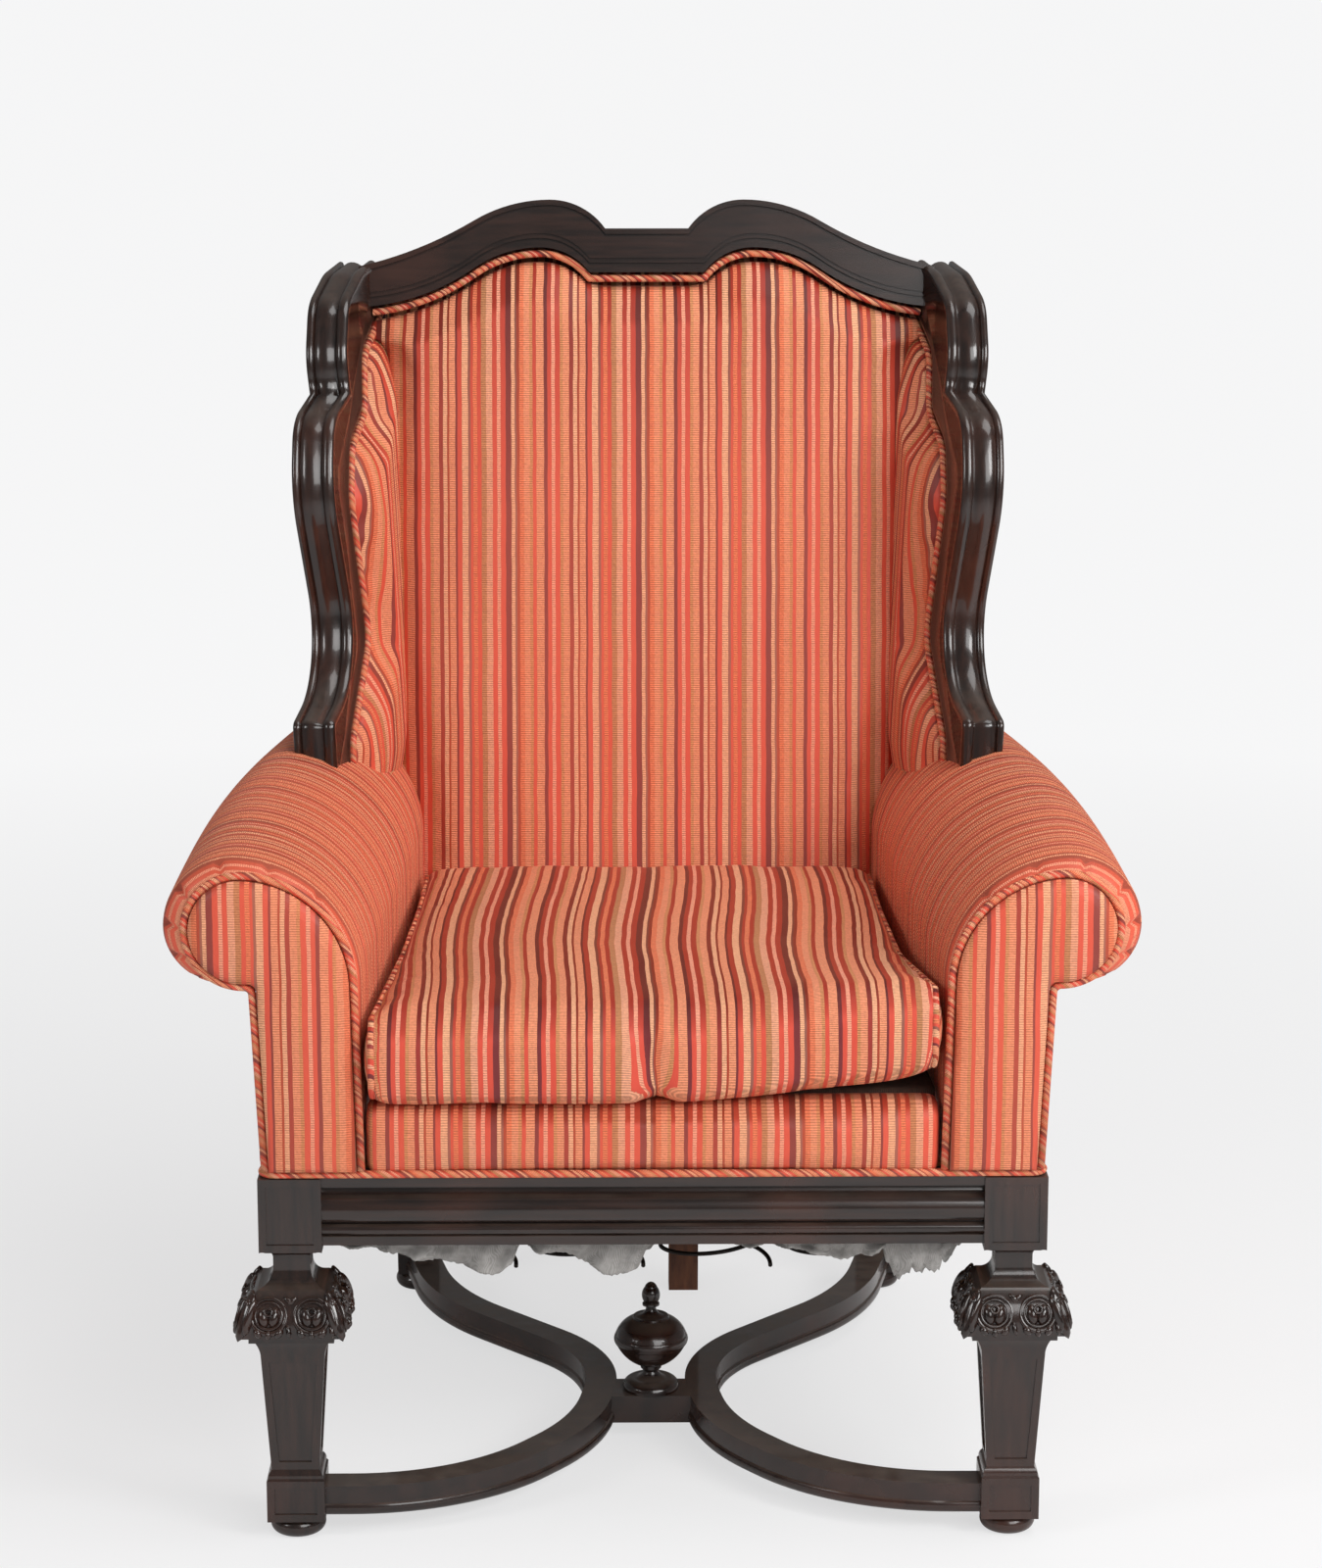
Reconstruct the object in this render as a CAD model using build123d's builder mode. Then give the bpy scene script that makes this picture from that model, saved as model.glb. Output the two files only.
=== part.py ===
from build123d import *
from math import asin, atan2, cos, hypot, pi, radians, sin, tan
import os

os.makedirs("parts", exist_ok=True)

# Driving dimensions, in mm. Depths are measured back from the front faces of the front legs.
RAIL_WIDTH = 700.0
RAIL_TOP = 341.0
RAIL_HEIGHT = 63.0
RAIL_THICK = 32.0
SEAT_DEPTH = 611.0
REAR_WIDTH = 532.0
POST_WIDTH = 44.0
POST_DEPTH = 36.0
BACK_RAKE = 8.2
LEG_RAKE = 9.1
BACK_SPLAY = 46.0
GAP = 0.3
CLOTH_GAP = 0.5

# Front legs, bun feet and the centre back leg
LEG_BLOCK = 56.0
BLOCK_DROP = 5.0
NECK_WIDTH = 33.0
NECK_HEIGHT = 17.0
CAPITAL_TOP = 60.0
CAPITAL_WIDTH = 93.0
CAPITAL_HEIGHT = 37.0
CAPITAL_LIP = 3.0
FILLET_WIDTH = 76.0
FILLET_HEIGHT = 9.0
SHAFT_TOP = 57.0
SHAFT_FLARE = 4.0
FLARE_HEIGHT = 12.0
SHAFT_FOOT = 43.0
FOOT_WIDTH = 52.0
FOOT_TOP = 56.0
FOOT_MOULD = 10.0
BUN_HEIGHT = 17.0
BUN_WIDTH = 50.0
BUN_FLAT = 36.0
PANEL_BORDER = 7.0
PANEL_DEPTH = 1.8
CENTRE_LEG = 31.0
CENTRE_LEG_X = 38.0

# Crest rail, on the raked plane of the back
CREST_PEAK = 814.0
CREST_NOTCH_DROP = 29.0
CREST_HIP_DROP = 21.0
CREST_END_DROP = 67.0
CREST_BAND = 48.0
CREST_ARCH_RISE = 25.0
CREST_END_BAND = 41.0
CREST_OVERHANG = 2.0
CREST_PROUD = 34.0
CREST_GROOVE = 2.4

# Wings, on a plane that flares out to the front and leans out at the top
WING_FOOT_OUT = -3.0
WING_FOOT_AHEAD = 174.0
WING_LEAN = 3.4
WING_TOP_RISE = 6.8
WING_REAR_GAP = 6.5
WING_CREST_LAP = 24.2
WING_THICK = 42.0
WING_SINK = 26.0
WING_PAD_PROUD = 10.0
WING_GROOVE = 3.2

# Arms
ARM_HEIGHT = 288.0
ARM_INSET = 93.0
ARM_TAPER = 30.0
ROLL_OUT = 85.0
ROLL_HEIGHT = 112.0
ROLL_REAR_OUT = 96.0
FACING_THICK = 6.0
FACING_PROUD = 4.0
FACING_LEAN = 8.0
STUMP_THICK = 28.0
PANEL_THICK = 4.0
PIPING = 7.0

# Seat
BORDER_HEIGHT = 60.0
BORDER_THICK = 44.0
DECK_TOP = 409.0
DECK_THICK = 11.0
HESSIAN_THICK = 2.0
BACK_PAD_THICK = 44.0
BACK_PAD_ROUND = 12.0
CUSHION_HEIGHT = 82.0
CUSHION_NOSE = 22.0
CUSHION_CROWN = 12.0
CUSHION_GAP = 3.0
SPRING_WIRE = 4.0
SPRING_RADIUS = 51.0
SPRING_WAIST = 33.0
SPRING_TURNS = 5
SPRING_DROP = 71.0
SPRING_PITCH_X = 118.0
SPRING_PITCH_Y = 150.0
FLAP_DEPTH = 24.0
FLAP_DROP = 46.0
FLAP_WAVE = 31.0
FLAP_SWAY = 6.0
COVER_THICK = 1.6
COVER_STRIP = 96.0

# Stretcher and finial
STRETCHER_TOP = 47.0
STRETCHER_THICK = 27.0
STRETCHER_WIDTH = 35.0
STRETCHER_BEAD = 2.5
WAIST_X = 47.0
WAIST_DEPTH = 262.0
BLOCK_DEPTH = 46.0
FINIAL_HEIGHT = 107.0
FINIAL_WIDTH = 71.0
SPIGOT_WIDTH = 10.0
SPIGOT_LENGTH = 16.0
DOWEL_WIDTH = 10.0
DOWEL_LENGTH = 36.0

# Corner braces and their screws
BRACE_RUN = 88.0
BRACE_WIDTH = 34.0
BRACE_MARGIN = 14.0
SCREW_WIDTH = 4.0
SCREW_REACH = 18.0
SCREW_SEAT = 11.0
SCREW_HEAD = 8.0
SCREW_HEAD_HIGH = 3.0

# Places worked out from the driving dimensions
RAKE = radians(BACK_RAKE)
REST_DEPTH = SEAT_DEPTH + CREST_PEAK * sin(RAKE) + POST_DEPTH * cos(RAKE)
FRONT = (CUSHION_NOSE - REST_DEPTH) / 2
HALF = RAIL_WIDTH / 2
REAR_HALF = REAR_WIDTH / 2
RAIL_LOW = RAIL_TOP - RAIL_HEIGHT
LEG_X = HALF - LEG_BLOCK / 2
LEG_Y = FRONT + LEG_BLOCK / 2
POST_X = REAR_HALF - POST_WIDTH / 2
POST_Y = FRONT + SEAT_DEPTH + POST_DEPTH / 2
POST_FOOT_Y = POST_Y + (RAIL_TOP - BUN_HEIGHT) * tan(radians(LEG_RAKE))
CREST_NOTCH = CREST_PEAK - CREST_NOTCH_DROP
CREST_HIP = CREST_PEAK - CREST_HIP_DROP
CREST_END_TOP = CREST_PEAK - CREST_END_DROP
CREST_END_LOW = CREST_END_TOP - CREST_END_BAND
CREST_ARCH = CREST_PEAK - CREST_BAND
CREST_LOW = CREST_ARCH - CREST_ARCH_RISE
POST_TOP_Z = RAIL_TOP + CREST_END_LOW * cos(RAKE)
POST_TOP_Y = POST_Y + CREST_END_LOW * sin(RAKE)
ARM_TOP = RAIL_TOP + ARM_HEIGHT
CLOTH_LOW = RAIL_TOP + PIPING + 2 * CLOTH_GAP
ARM_X = HALF - ARM_INSET
ARM_REAR_X = ARM_X - ARM_TAPER
PIPE = PIPING / 2
PIPE_GAP = PIPE + CLOTH_GAP
PIPE_DEPTH = 3.0
CREST_PIPE_DROP = 1.5 * PIPE_GAP

CREST_END_X = POST_X + BACK_SPLAY + CREST_OVERHANG
CREST_PEAK_X = 0.336 * CREST_END_X
CREST_NOTCH_X = 0.144 * CREST_END_X
CREST_HIP_X = 0.6 * CREST_END_X
CREST_LOW_X = 0.199 * CREST_END_X
CREST_ARCH_X = 0.37 * CREST_END_X

BACK = Plane(
    origin=(0, FRONT + SEAT_DEPTH, RAIL_TOP), x_dir=(1, 0, 0), z_dir=(0, -cos(RAKE), sin(RAKE))
)
LEAN = radians(WING_LEAN)
WING_TOP = (CREST_END_TOP * cos(RAKE) - ARM_HEIGHT + WING_TOP_RISE) / cos(LEAN)
WING_FOOT_X = HALF + WING_FOOT_OUT
WING_FOOT_DEPTH = SEAT_DEPTH - WING_FOOT_AHEAD
WING_RUN_X = WING_FOOT_X + WING_TOP * sin(LEAN) - CREST_END_X - WING_CREST_LAP
WING_RUN_Y = WING_FOOT_AHEAD + (ARM_HEIGHT + WING_TOP) * tan(RAKE) - WING_REAR_GAP
FLARE = atan2(WING_RUN_X, WING_RUN_Y)
WING = Plane(
    origin=(-WING_FOOT_X, FRONT + WING_FOOT_DEPTH, ARM_TOP),
    x_dir=(sin(FLARE), cos(FLARE), 0),
    z_dir=(cos(FLARE) * cos(LEAN), -sin(FLARE) * cos(LEAN), sin(LEAN)),
)


def save(part, name):
    part.label = name
    export_step(part, f"parts/{name}.step")


def save_pair(left_part, name):
    save(left_part, f"{name}_left")
    with BuildPart() as right:
        mirror(left_part, about=Plane.YZ)
    save(right.part, f"{name}_right")
    return right.part


def cut(*parts):
    for part in parts:
        add(part, mode=Mode.SUBTRACT)


# Stretcher route on lines and arcs, and the dowels at its four ends
FOOT_FACE = LEG_X - FOOT_WIDTH / 2
STRETCHER_MID = STRETCHER_TOP - STRETCHER_THICK / 2
with BuildLine(Plane.XY.offset(STRETCHER_TOP)) as serpentine:
    FilletPolyline(
        (-FOOT_FACE, LEG_Y),
        (-170, LEG_Y),
        (-WAIST_X - 14, FRONT + WAIST_DEPTH - 90),
        (-WAIST_X + 9, FRONT + WAIST_DEPTH + 77),
        (-POST_X + 32, POST_FOOT_Y - 156),
        (-POST_X, POST_FOOT_Y),
        radius=(205, 225, 180, 260),
    )
drop = Vector(0, 0, STRETCHER_MID - STRETCHER_TOP)
dowel_ends = (
    Plane(
        (serpentine.line @ 0) + drop - (serpentine.line % 0) * (DOWEL_LENGTH / 2),
        z_dir=serpentine.line % 0,
    ),
    Plane(
        (serpentine.line @ 1) + drop - (serpentine.line % 1) * (POST_DEPTH / 2 + DOWEL_LENGTH / 2),
        z_dir=serpentine.line % 1,
    ),
)


def dowels(grow):
    with BuildPart() as pegs:
        for end in dowel_ends:
            with BuildSketch(end.offset(-grow)):
                Circle(DOWEL_WIDTH / 2 + grow)
            extrude(amount=DOWEL_LENGTH + 2 * grow)
    return pegs.part


with BuildPart() as stretcher_dowels:
    add(dowels(0))
    mirror(about=Plane.YZ)

# Front leg: one square turning, made where two extruded outlines cross, with sunk panels
NECK_TOP = RAIL_LOW - BLOCK_DROP
NECK_LOW = NECK_TOP - NECK_HEIGHT
CAPITAL_SHOULDER = NECK_LOW - NECK_HEIGHT
CAPITAL_LOW = CAPITAL_SHOULDER - CAPITAL_HEIGHT
SHAFT_HIGH = CAPITAL_LOW - CAPITAL_LIP - FILLET_HEIGHT
SHAFT_LOW = FOOT_TOP + FOOT_MOULD
FLARE_LOW = SHAFT_HIGH - FLARE_HEIGHT


def leg_outline():
    with BuildLine() as outline:
        Polyline(
            (0, BUN_HEIGHT),
            (FOOT_WIDTH / 2, BUN_HEIGHT),
            (FOOT_WIDTH / 2, FOOT_TOP),
            (SHAFT_FOOT / 2 + 3, FOOT_TOP + 2),
        )
        ThreePointArc(
            (SHAFT_FOOT / 2 + 3, FOOT_TOP + 2),
            (SHAFT_FOOT / 2 + 2.5, FOOT_TOP + 6),
            (SHAFT_FOOT / 2, SHAFT_LOW),
        )
        Line((SHAFT_FOOT / 2, SHAFT_LOW), (SHAFT_TOP / 2, FLARE_LOW))
        ThreePointArc(
            (SHAFT_TOP / 2, FLARE_LOW),
            (SHAFT_TOP / 2 + SHAFT_FLARE * 0.35, (FLARE_LOW + SHAFT_HIGH) / 2),
            (SHAFT_TOP / 2 + SHAFT_FLARE, SHAFT_HIGH),
        )
        Polyline(
            (SHAFT_TOP / 2 + SHAFT_FLARE, SHAFT_HIGH),
            (FILLET_WIDTH / 2, SHAFT_HIGH + 2),
            (FILLET_WIDTH / 2, SHAFT_HIGH + FILLET_HEIGHT),
            (CAPITAL_WIDTH / 2, CAPITAL_LOW - CAPITAL_LIP),
            (CAPITAL_WIDTH / 2, CAPITAL_LOW),
        )
        ThreePointArc(
            (CAPITAL_WIDTH / 2, CAPITAL_LOW),
            ((CAPITAL_WIDTH + CAPITAL_TOP) / 4 + 4, CAPITAL_LOW + CAPITAL_HEIGHT * 0.6),
            (CAPITAL_TOP / 2, CAPITAL_SHOULDER),
        )
        ThreePointArc(
            (CAPITAL_TOP / 2, CAPITAL_SHOULDER),
            (NECK_WIDTH / 2 + 3.5, CAPITAL_SHOULDER + NECK_HEIGHT * 0.35),
            (NECK_WIDTH / 2, NECK_LOW),
        )
        Line((NECK_WIDTH / 2, NECK_LOW), (NECK_WIDTH / 2, NECK_TOP - 7))
        ThreePointArc(
            (NECK_WIDTH / 2, NECK_TOP - 7), (NECK_WIDTH / 2 + 2.5, NECK_TOP - 2), (LEG_BLOCK / 2, NECK_TOP)
        )
        Polyline((LEG_BLOCK / 2, NECK_TOP), (LEG_BLOCK / 2, RAIL_TOP), (0, RAIL_TOP))
        mirror(about=Plane.YZ)
    make_face(outline.edges())


with BuildPart() as front_leg:
    with BuildSketch(Plane((-LEG_X, LEG_Y, 0), x_dir=(1, 0, 0), z_dir=(0, -1, 0))):
        leg_outline()
    extrude(amount=CAPITAL_WIDTH, both=True)
    with BuildSketch(Plane((-LEG_X, LEG_Y, 0), x_dir=(0, 1, 0), z_dir=(1, 0, 0))):
        leg_outline()
    extrude(amount=CAPITAL_WIDTH, both=True, mode=Mode.INTERSECT)
    shaft_lean = atan2((SHAFT_TOP - SHAFT_FOOT) / 2, FLARE_LOW - SHAFT_LOW)
    shaft_mid = (SHAFT_TOP + SHAFT_FOOT) / 4
    panel_half = (FLARE_LOW - SHAFT_LOW) / 2 / cos(shaft_lean) - PANEL_BORDER
    for turn in range(4):
        side = Vector(sin(turn * pi / 2), -cos(turn * pi / 2), 0)
        across = (cos(turn * pi / 2), sin(turn * pi / 2), 0)
        middle = Vector(-LEG_X, LEG_Y, (FLARE_LOW + SHAFT_LOW) / 2) + side * shaft_mid
        facing = (side.X * cos(shaft_lean), side.Y * cos(shaft_lean), -sin(shaft_lean))
        with BuildSketch(Plane(middle, x_dir=across, z_dir=facing)):
            low = SHAFT_FOOT / 2 - PANEL_BORDER
            high = SHAFT_TOP / 2 - PANEL_BORDER
            Polygon(
                (-low, -panel_half),
                (low, -panel_half),
                (high, panel_half),
                (-high, panel_half),
                align=None,
            )
        extrude(amount=-PANEL_DEPTH, mode=Mode.SUBTRACT)
    for turn in (0, 3):
        side = Vector(sin(turn * pi / 2), -cos(turn * pi / 2), 0)
        across = (cos(turn * pi / 2), sin(turn * pi / 2), 0)
        for width, low, high in (
            (FOOT_WIDTH, BUN_HEIGHT, FOOT_TOP),
            (LEG_BLOCK, NECK_TOP, RAIL_TOP),
        ):
            middle = Vector(-LEG_X, LEG_Y, (low + high) / 2) + side * (width / 2)
            with BuildSketch(Plane(middle, x_dir=across, z_dir=side)):
                Rectangle(width - 2 * PANEL_BORDER, high - low - 2 * PANEL_BORDER)
            extrude(amount=-PANEL_DEPTH, mode=Mode.SUBTRACT)
    cut(dowels(GAP))


def bun_foot(x, y):
    with BuildPart() as bun:
        with BuildSketch(Plane((x, y, 0), x_dir=(1, 0, 0), z_dir=(0, -1, 0))):
            with BuildLine():
                Line((0, 0), (BUN_FLAT / 2, 0))
                ThreePointArc((BUN_FLAT / 2, 0), (BUN_WIDTH / 2, BUN_HEIGHT / 2), (BUN_FLAT / 2, BUN_HEIGHT))
                Polyline((BUN_FLAT / 2, BUN_HEIGHT), (0, BUN_HEIGHT), (0, 0))
            make_face()
        revolve(axis=Axis((x, y, 0), (0, 0, 1)))
    return bun.part


# Rear post: back leg and back upright in one timber, raked both ways and splayed at the top
with BuildPart() as rear_post:
    for x, y, z in (
        (-POST_X, POST_FOOT_Y, BUN_HEIGHT),
        (-POST_X, POST_Y, RAIL_TOP),
        (-POST_X - BACK_SPLAY, POST_TOP_Y, POST_TOP_Z),
    ):
        with BuildSketch(Plane((x, y, z))):
            Rectangle(POST_WIDTH, POST_DEPTH)
    loft(ruled=True)
    cut(dowels(GAP))


# Moulded seat rails, one outline for the front and the sides
RAIL_FACE = 2.0


def rail_outline():
    with BuildLine() as outline:
        Polyline((RAIL_THICK, 0), (4, 0), (4, 8), (7, 9))
        ThreePointArc((7, 9), (2, 14), (7, 19))
        Polyline((7, 19), (9, 19), (9, 21.5), (4, 21.5))
        ThreePointArc((4, 21.5), (0, 32), (6, 44))
        ThreePointArc((6, 44), (10, 48), (11, RAIL_HEIGHT - 9))
        top = RAIL_HEIGHT - 8
        Polyline((11, top - 1), (1.5, top), (1.5, RAIL_HEIGHT), (RAIL_THICK, RAIL_HEIGHT), (RAIL_THICK, 0))
    make_face(outline.edges())


REAR_RAIL_THICK = 30.0
SIDE_START = Vector(-HALF + RAIL_FACE, FRONT + LEG_BLOCK / 2, RAIL_LOW)
SIDE_END = Vector(-REAR_HALF, FRONT + SEAT_DEPTH + POST_DEPTH / 2, RAIL_LOW)
SIDE_RUN = (SIDE_END - SIDE_START).normalized()
SIDE_IN = Vector(SIDE_RUN.Y, -SIDE_RUN.X, 0)
FRONT_INNER = FRONT + RAIL_FACE + RAIL_THICK
REAR_INNER = FRONT + SEAT_DEPTH + POST_DEPTH / 2 - REAR_RAIL_THICK / 2


def on_side(inset, y):
    start = SIDE_START + SIDE_IN * inset
    return start + SIDE_RUN * ((y - start.Y) / SIDE_RUN.Y)


# Corner braces on the inner faces of the rails, with a screw into each rail
brace_seats = []
brace_outlines = []
for corner_y, way in ((FRONT_INNER, 1), (REAR_INNER, -1)):
    corner = on_side(RAIL_THICK, corner_y)
    across = Vector(1, 0, 0)
    along = SIDE_RUN * way
    far = BRACE_RUN + BRACE_WIDTH
    brace_outlines.append(
        [corner + across * BRACE_RUN, corner + across * far, corner + along * far, corner + along * BRACE_RUN]
    )
    middle = BRACE_RUN + BRACE_WIDTH / 2
    lift = Vector(0, 0, RAIL_HEIGHT / 2)
    brace_seats.append(Plane(corner + across * middle + lift, x_dir=(0, 0, 1), z_dir=(0, way, 0)))
    brace_seats.append(Plane(corner + along * middle + lift, x_dir=(0, 0, 1), z_dir=SIDE_IN))


def brace_screws(grow, head_high):
    with BuildPart() as screws:
        for seat in brace_seats:
            with BuildSketch(seat.offset(-SCREW_REACH - grow)):
                Circle(SCREW_WIDTH / 2 + grow)
            extrude(amount=SCREW_REACH + SCREW_SEAT + 2 * grow)
            with BuildSketch(seat.offset(SCREW_SEAT - grow)):
                Circle(SCREW_HEAD / 2 + grow)
            extrude(amount=head_high)
        mirror(about=Plane.YZ)
    return screws.part


screw_bores = brace_screws(GAP, 2 * BRACE_WIDTH)
with BuildPart() as brace_screw_set:
    add(brace_screws(0, SCREW_HEAD_HIGH))

with BuildPart() as corner_braces:
    for outline in brace_outlines:
        with BuildSketch(Plane((0, 0, RAIL_LOW + BRACE_MARGIN))):
            Polygon(*[(point.X, point.Y) for point in outline], align=None)
        extrude(amount=RAIL_HEIGHT - 2 * BRACE_MARGIN)
    mirror(about=Plane.YZ)
    cut(screw_bores)

with BuildPart() as front_rail:
    rail_end = LEG_X - LEG_BLOCK / 2
    with BuildSketch(Plane((-rail_end, FRONT + RAIL_FACE, RAIL_LOW), x_dir=(0, 1, 0), z_dir=(1, 0, 0))):
        rail_outline()
    extrude(amount=2 * rail_end)
    cut(screw_bores)

with BuildPart() as side_rail:
    with BuildSketch(Plane(SIDE_START, x_dir=SIDE_IN, z_dir=-SIDE_RUN)):
        rail_outline()
    extrude(amount=-(SIDE_END - SIDE_START).length)
    cut(front_leg.part, rear_post.part, screw_bores)

with BuildPart() as rear_rail:
    with BuildSketch(Plane((0, FRONT + SEAT_DEPTH + POST_DEPTH / 2, RAIL_LOW))):
        Rectangle(2 * POST_X - POST_WIDTH, REAR_RAIL_THICK)
    extrude(amount=RAIL_HEIGHT)
    cut(screw_bores)

LOWER_BACK_RAIL = 100.0
with BuildPart() as lower_back_rail:
    with BuildSketch(BACK.offset(-POST_DEPTH / 2)):
        with Locations((0, LOWER_BACK_RAIL)):
            Rectangle(2 * POST_X, 40)
    extrude(amount=12, both=True)
    rear_posts = [rear_post.part, mirror(rear_post.part, about=Plane.YZ, mode=Mode.PRIVATE)]
    cut(*rear_posts)

# The plain centre back leg, raked like the posts
with BuildPart() as rear_centre_leg:
    leg_back = RAIL_LOW * tan(radians(LEG_RAKE))
    with BuildSketch(Plane((CENTRE_LEG_X, POST_Y, 0), x_dir=(0, 1, 0), z_dir=(1, 0, 0))):
        half = CENTRE_LEG / 2
        Polygon((leg_back - half, 0), (leg_back + half, 0), (half, RAIL_LOW), (-half, RAIL_LOW), align=None)
    extrude(amount=CENTRE_LEG / 2, both=True)


# Crest rail: a band between two arched edges, with grooves run along its front
def crest_edge(low, rise, flat=True):
    notch_x = CREST_LOW_X if low else CREST_NOTCH_X
    notch = (CREST_LOW if low else CREST_NOTCH) + rise
    peak = (-CREST_ARCH_X, CREST_ARCH + rise) if low else (-CREST_PEAK_X, CREST_PEAK + rise)
    drop = CREST_PEAK - CREST_HIP
    hip = (-CREST_HIP_X, peak[1] - drop) if low else (-CREST_HIP_X, CREST_HIP + rise)
    end = (-CREST_END_X, (CREST_END_LOW if low else CREST_END_TOP) + rise)
    if flat:
        Line((0, notch), (-notch_x, notch))
    run = abs(peak[0]) - notch_x
    climb = peak[1] - notch
    radius = (run * run + climb * climb) / (2 * climb)
    half_turn = asin(run / radius) / 2
    middle = (peak[0] + radius * sin(half_turn), peak[1] - radius * (1 - cos(half_turn)))
    ThreePointArc((-notch_x, notch), middle, peak)
    shoulder = TangentArc(peak, hip, tangent=(-1, 0))
    TangentArc(hip, end, tangent=shoulder % 1)
    return end


with BuildPart() as crest_rail:
    with BuildSketch(BACK.offset(CREST_PROUD)):
        with BuildLine():
            high_end = crest_edge(False, 0)
            low_end = crest_edge(True, 0)
            Line(high_end, low_end)
            mirror(about=Plane.YZ)
        make_face()
    extrude(amount=-CREST_PROUD - POST_DEPTH)
    for low, start in ((True, 7.0), (True, 12.0), (False, -8.0)):
        with BuildSketch(BACK.offset(CREST_PROUD)):
            with BuildLine():
                first = crest_edge(low, start)
                second = crest_edge(low, start + CREST_GROOVE)
                Line(first, second)
                mirror(about=Plane.YZ)
            make_face()
        extrude(amount=-CREST_GROOVE, mode=Mode.SUBTRACT)
    cut(*rear_posts)


# Wing outlines on the wing plane: front edge in two lobes, and the line where the cloth begins
WING_REAR_TOP = hypot(WING_RUN_X, WING_RUN_Y)
WING_REAR_LOW = WING_REAR_TOP - (WING_TOP + WING_SINK) * tan(RAKE) / cos(FLARE) + WING_REAR_GAP / 2
WING_WIDE = WING_REAR_TOP / 283
WING_TALL = WING_TOP / 459
WING_BEND = min(WING_WIDE, WING_TALL)


def on_wing(points):
    return [(u * WING_WIDE, v * WING_TALL) for u, v in points]


def wing_front_edge():
    notch = on_wing([(146, 340)])[0]
    lower = on_wing([(3, 34), (112, 70), (56, 250), (82, 322)])
    upper = on_wing([(140, 374), (164, 428), (225, 452)])
    lower_bends = [WING_BEND * bend for bend in (10, 84, 110, 45)]
    upper_bends = [WING_BEND * bend for bend in (60, 42, 80)]
    FilletPolyline((0, -WING_SINK), *lower, notch, radius=lower_bends)
    FilletPolyline(notch, *upper, (WING_REAR_TOP, WING_TOP), radius=upper_bends)


WING_CLOTH = [(54 * WING_WIDE, -WING_SINK)]
WING_CLOTH += on_wing([(62, 6), (146, 92), (118, 236), (136, 288), (192, 316), (204, 372)])
WING_CLOTH_BENDS = [WING_BEND * bend for bend in (30, 40, 60, 30, 26, 30)]
WING_CLOTH_TOP = 410 * WING_TALL


def wing_cloth_edge(inset):
    route = [Vector(u, v) for u, v in WING_CLOTH] + [Vector(WING_REAR_TOP, WING_CLOTH_TOP)]
    runs = [(finish - start).normalized() for start, finish in zip(route, route[1:])]
    sides = [Vector(run.Y, -run.X) for run in runs]
    shifted = [route[0] + sides[0] * inset]
    bends = []
    for index in range(1, len(route) - 1):
        before, after = sides[index - 1], sides[index]
        shifted.append(route[index] + (before + after) * (inset / (1 + before.dot(after))))
        turns_right = runs[index - 1].cross(runs[index]).Z < 0
        bend = WING_CLOTH_BENDS[index - 1]
        bends.append(bend - inset if turns_right else bend + inset)
    shifted.append(route[-1] + sides[-1] * inset)
    flat = [(point.X, point.Y) for point in shifted]
    FilletPolyline(*flat, radius=bends)
    return flat[0], flat[-1]


with BuildPart() as wing_frame:
    for low, high, inset in (
        (0, 3.5, 2.5),
        (3.5, 9.5, 0),
        (9.5, 11.5, WING_GROOVE),
        (11.5, 30.5, 1.0),
        (30.5, 32.5, WING_GROOVE),
        (32.5, 38.5, 0),
        (38.5, WING_THICK, 2.5),
    ):
        with BuildSketch(WING.offset(low)):
            with BuildLine():
                wing_front_edge()
                first, last = wing_cloth_edge(0)
                Line((WING_REAR_TOP, WING_TOP), last)
                Line((0, -WING_SINK), first)
            make_face()
            if inset:
                offset(amount=-inset, kind=Kind.INTERSECTION, mode=Mode.REPLACE)
        extrude(amount=high - low)
    cut(rear_post.part, crest_rail.part)


# Wing pad between the frame and the post, and the plain panel outside it
def wing_cloth_face(inset, reach):
    with BuildLine() as outline:
        first, last = wing_cloth_edge(inset)
        Polyline(first, (WING_REAR_LOW + reach, first[1]), (WING_REAR_TOP + reach, last[1]), last)
    make_face(outline.edges())


with BuildPart() as wing_pad:
    with BuildSketch(WING.offset(CLOTH_GAP)):
        wing_cloth_face(PIPING + 2 * CLOTH_GAP, 1)
    extrude(amount=WING_THICK + WING_PAD_PROUD - CLOTH_GAP)
    cut(rear_post.part, crest_rail.part)

with BuildPart() as outside_wing:
    with BuildSketch(WING):
        wing_cloth_face(GAP, POST_DEPTH - 10)
    extrude(amount=-PANEL_THICK)
    cut(rear_post.part, crest_rail.part)

with BuildPart() as wing_piping:
    with BuildLine(WING.offset(WING_THICK)) as route:
        wing_cloth_edge(PIPE_GAP)
    with BuildSketch(Plane(route.line @ 0, z_dir=route.line % 0)):
        Circle(PIPE)
    sweep(path=route.line)
    cut(rear_post.part, crest_rail.part)


# Arms: outline of the roll and the inside arm, lofted from the front to the rear post
def arm_outline(inner, outer, roll_out, top):
    with BuildLine() as outline:
        low = CLOTH_LOW
        crown = (-(inner + outer + roll_out) / 2 - 16, top)
        Line((-inner, low), (-inner, top - ROLL_HEIGHT))
        first = TangentArc((-inner, top - ROLL_HEIGHT), crown, tangent=(0, 1))
        side = (-outer - roll_out, top - ROLL_HEIGHT / 2)
        second = TangentArc(crown, side, tangent=first % 1)
        under = (-outer - roll_out / 2, top - ROLL_HEIGHT)
        TangentArc(side, under, tangent=second % 1)
        Polyline(under, (-outer, top - ROLL_HEIGHT - 8), (-outer, low), (-inner, low))
    make_face(outline.edges())


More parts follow.
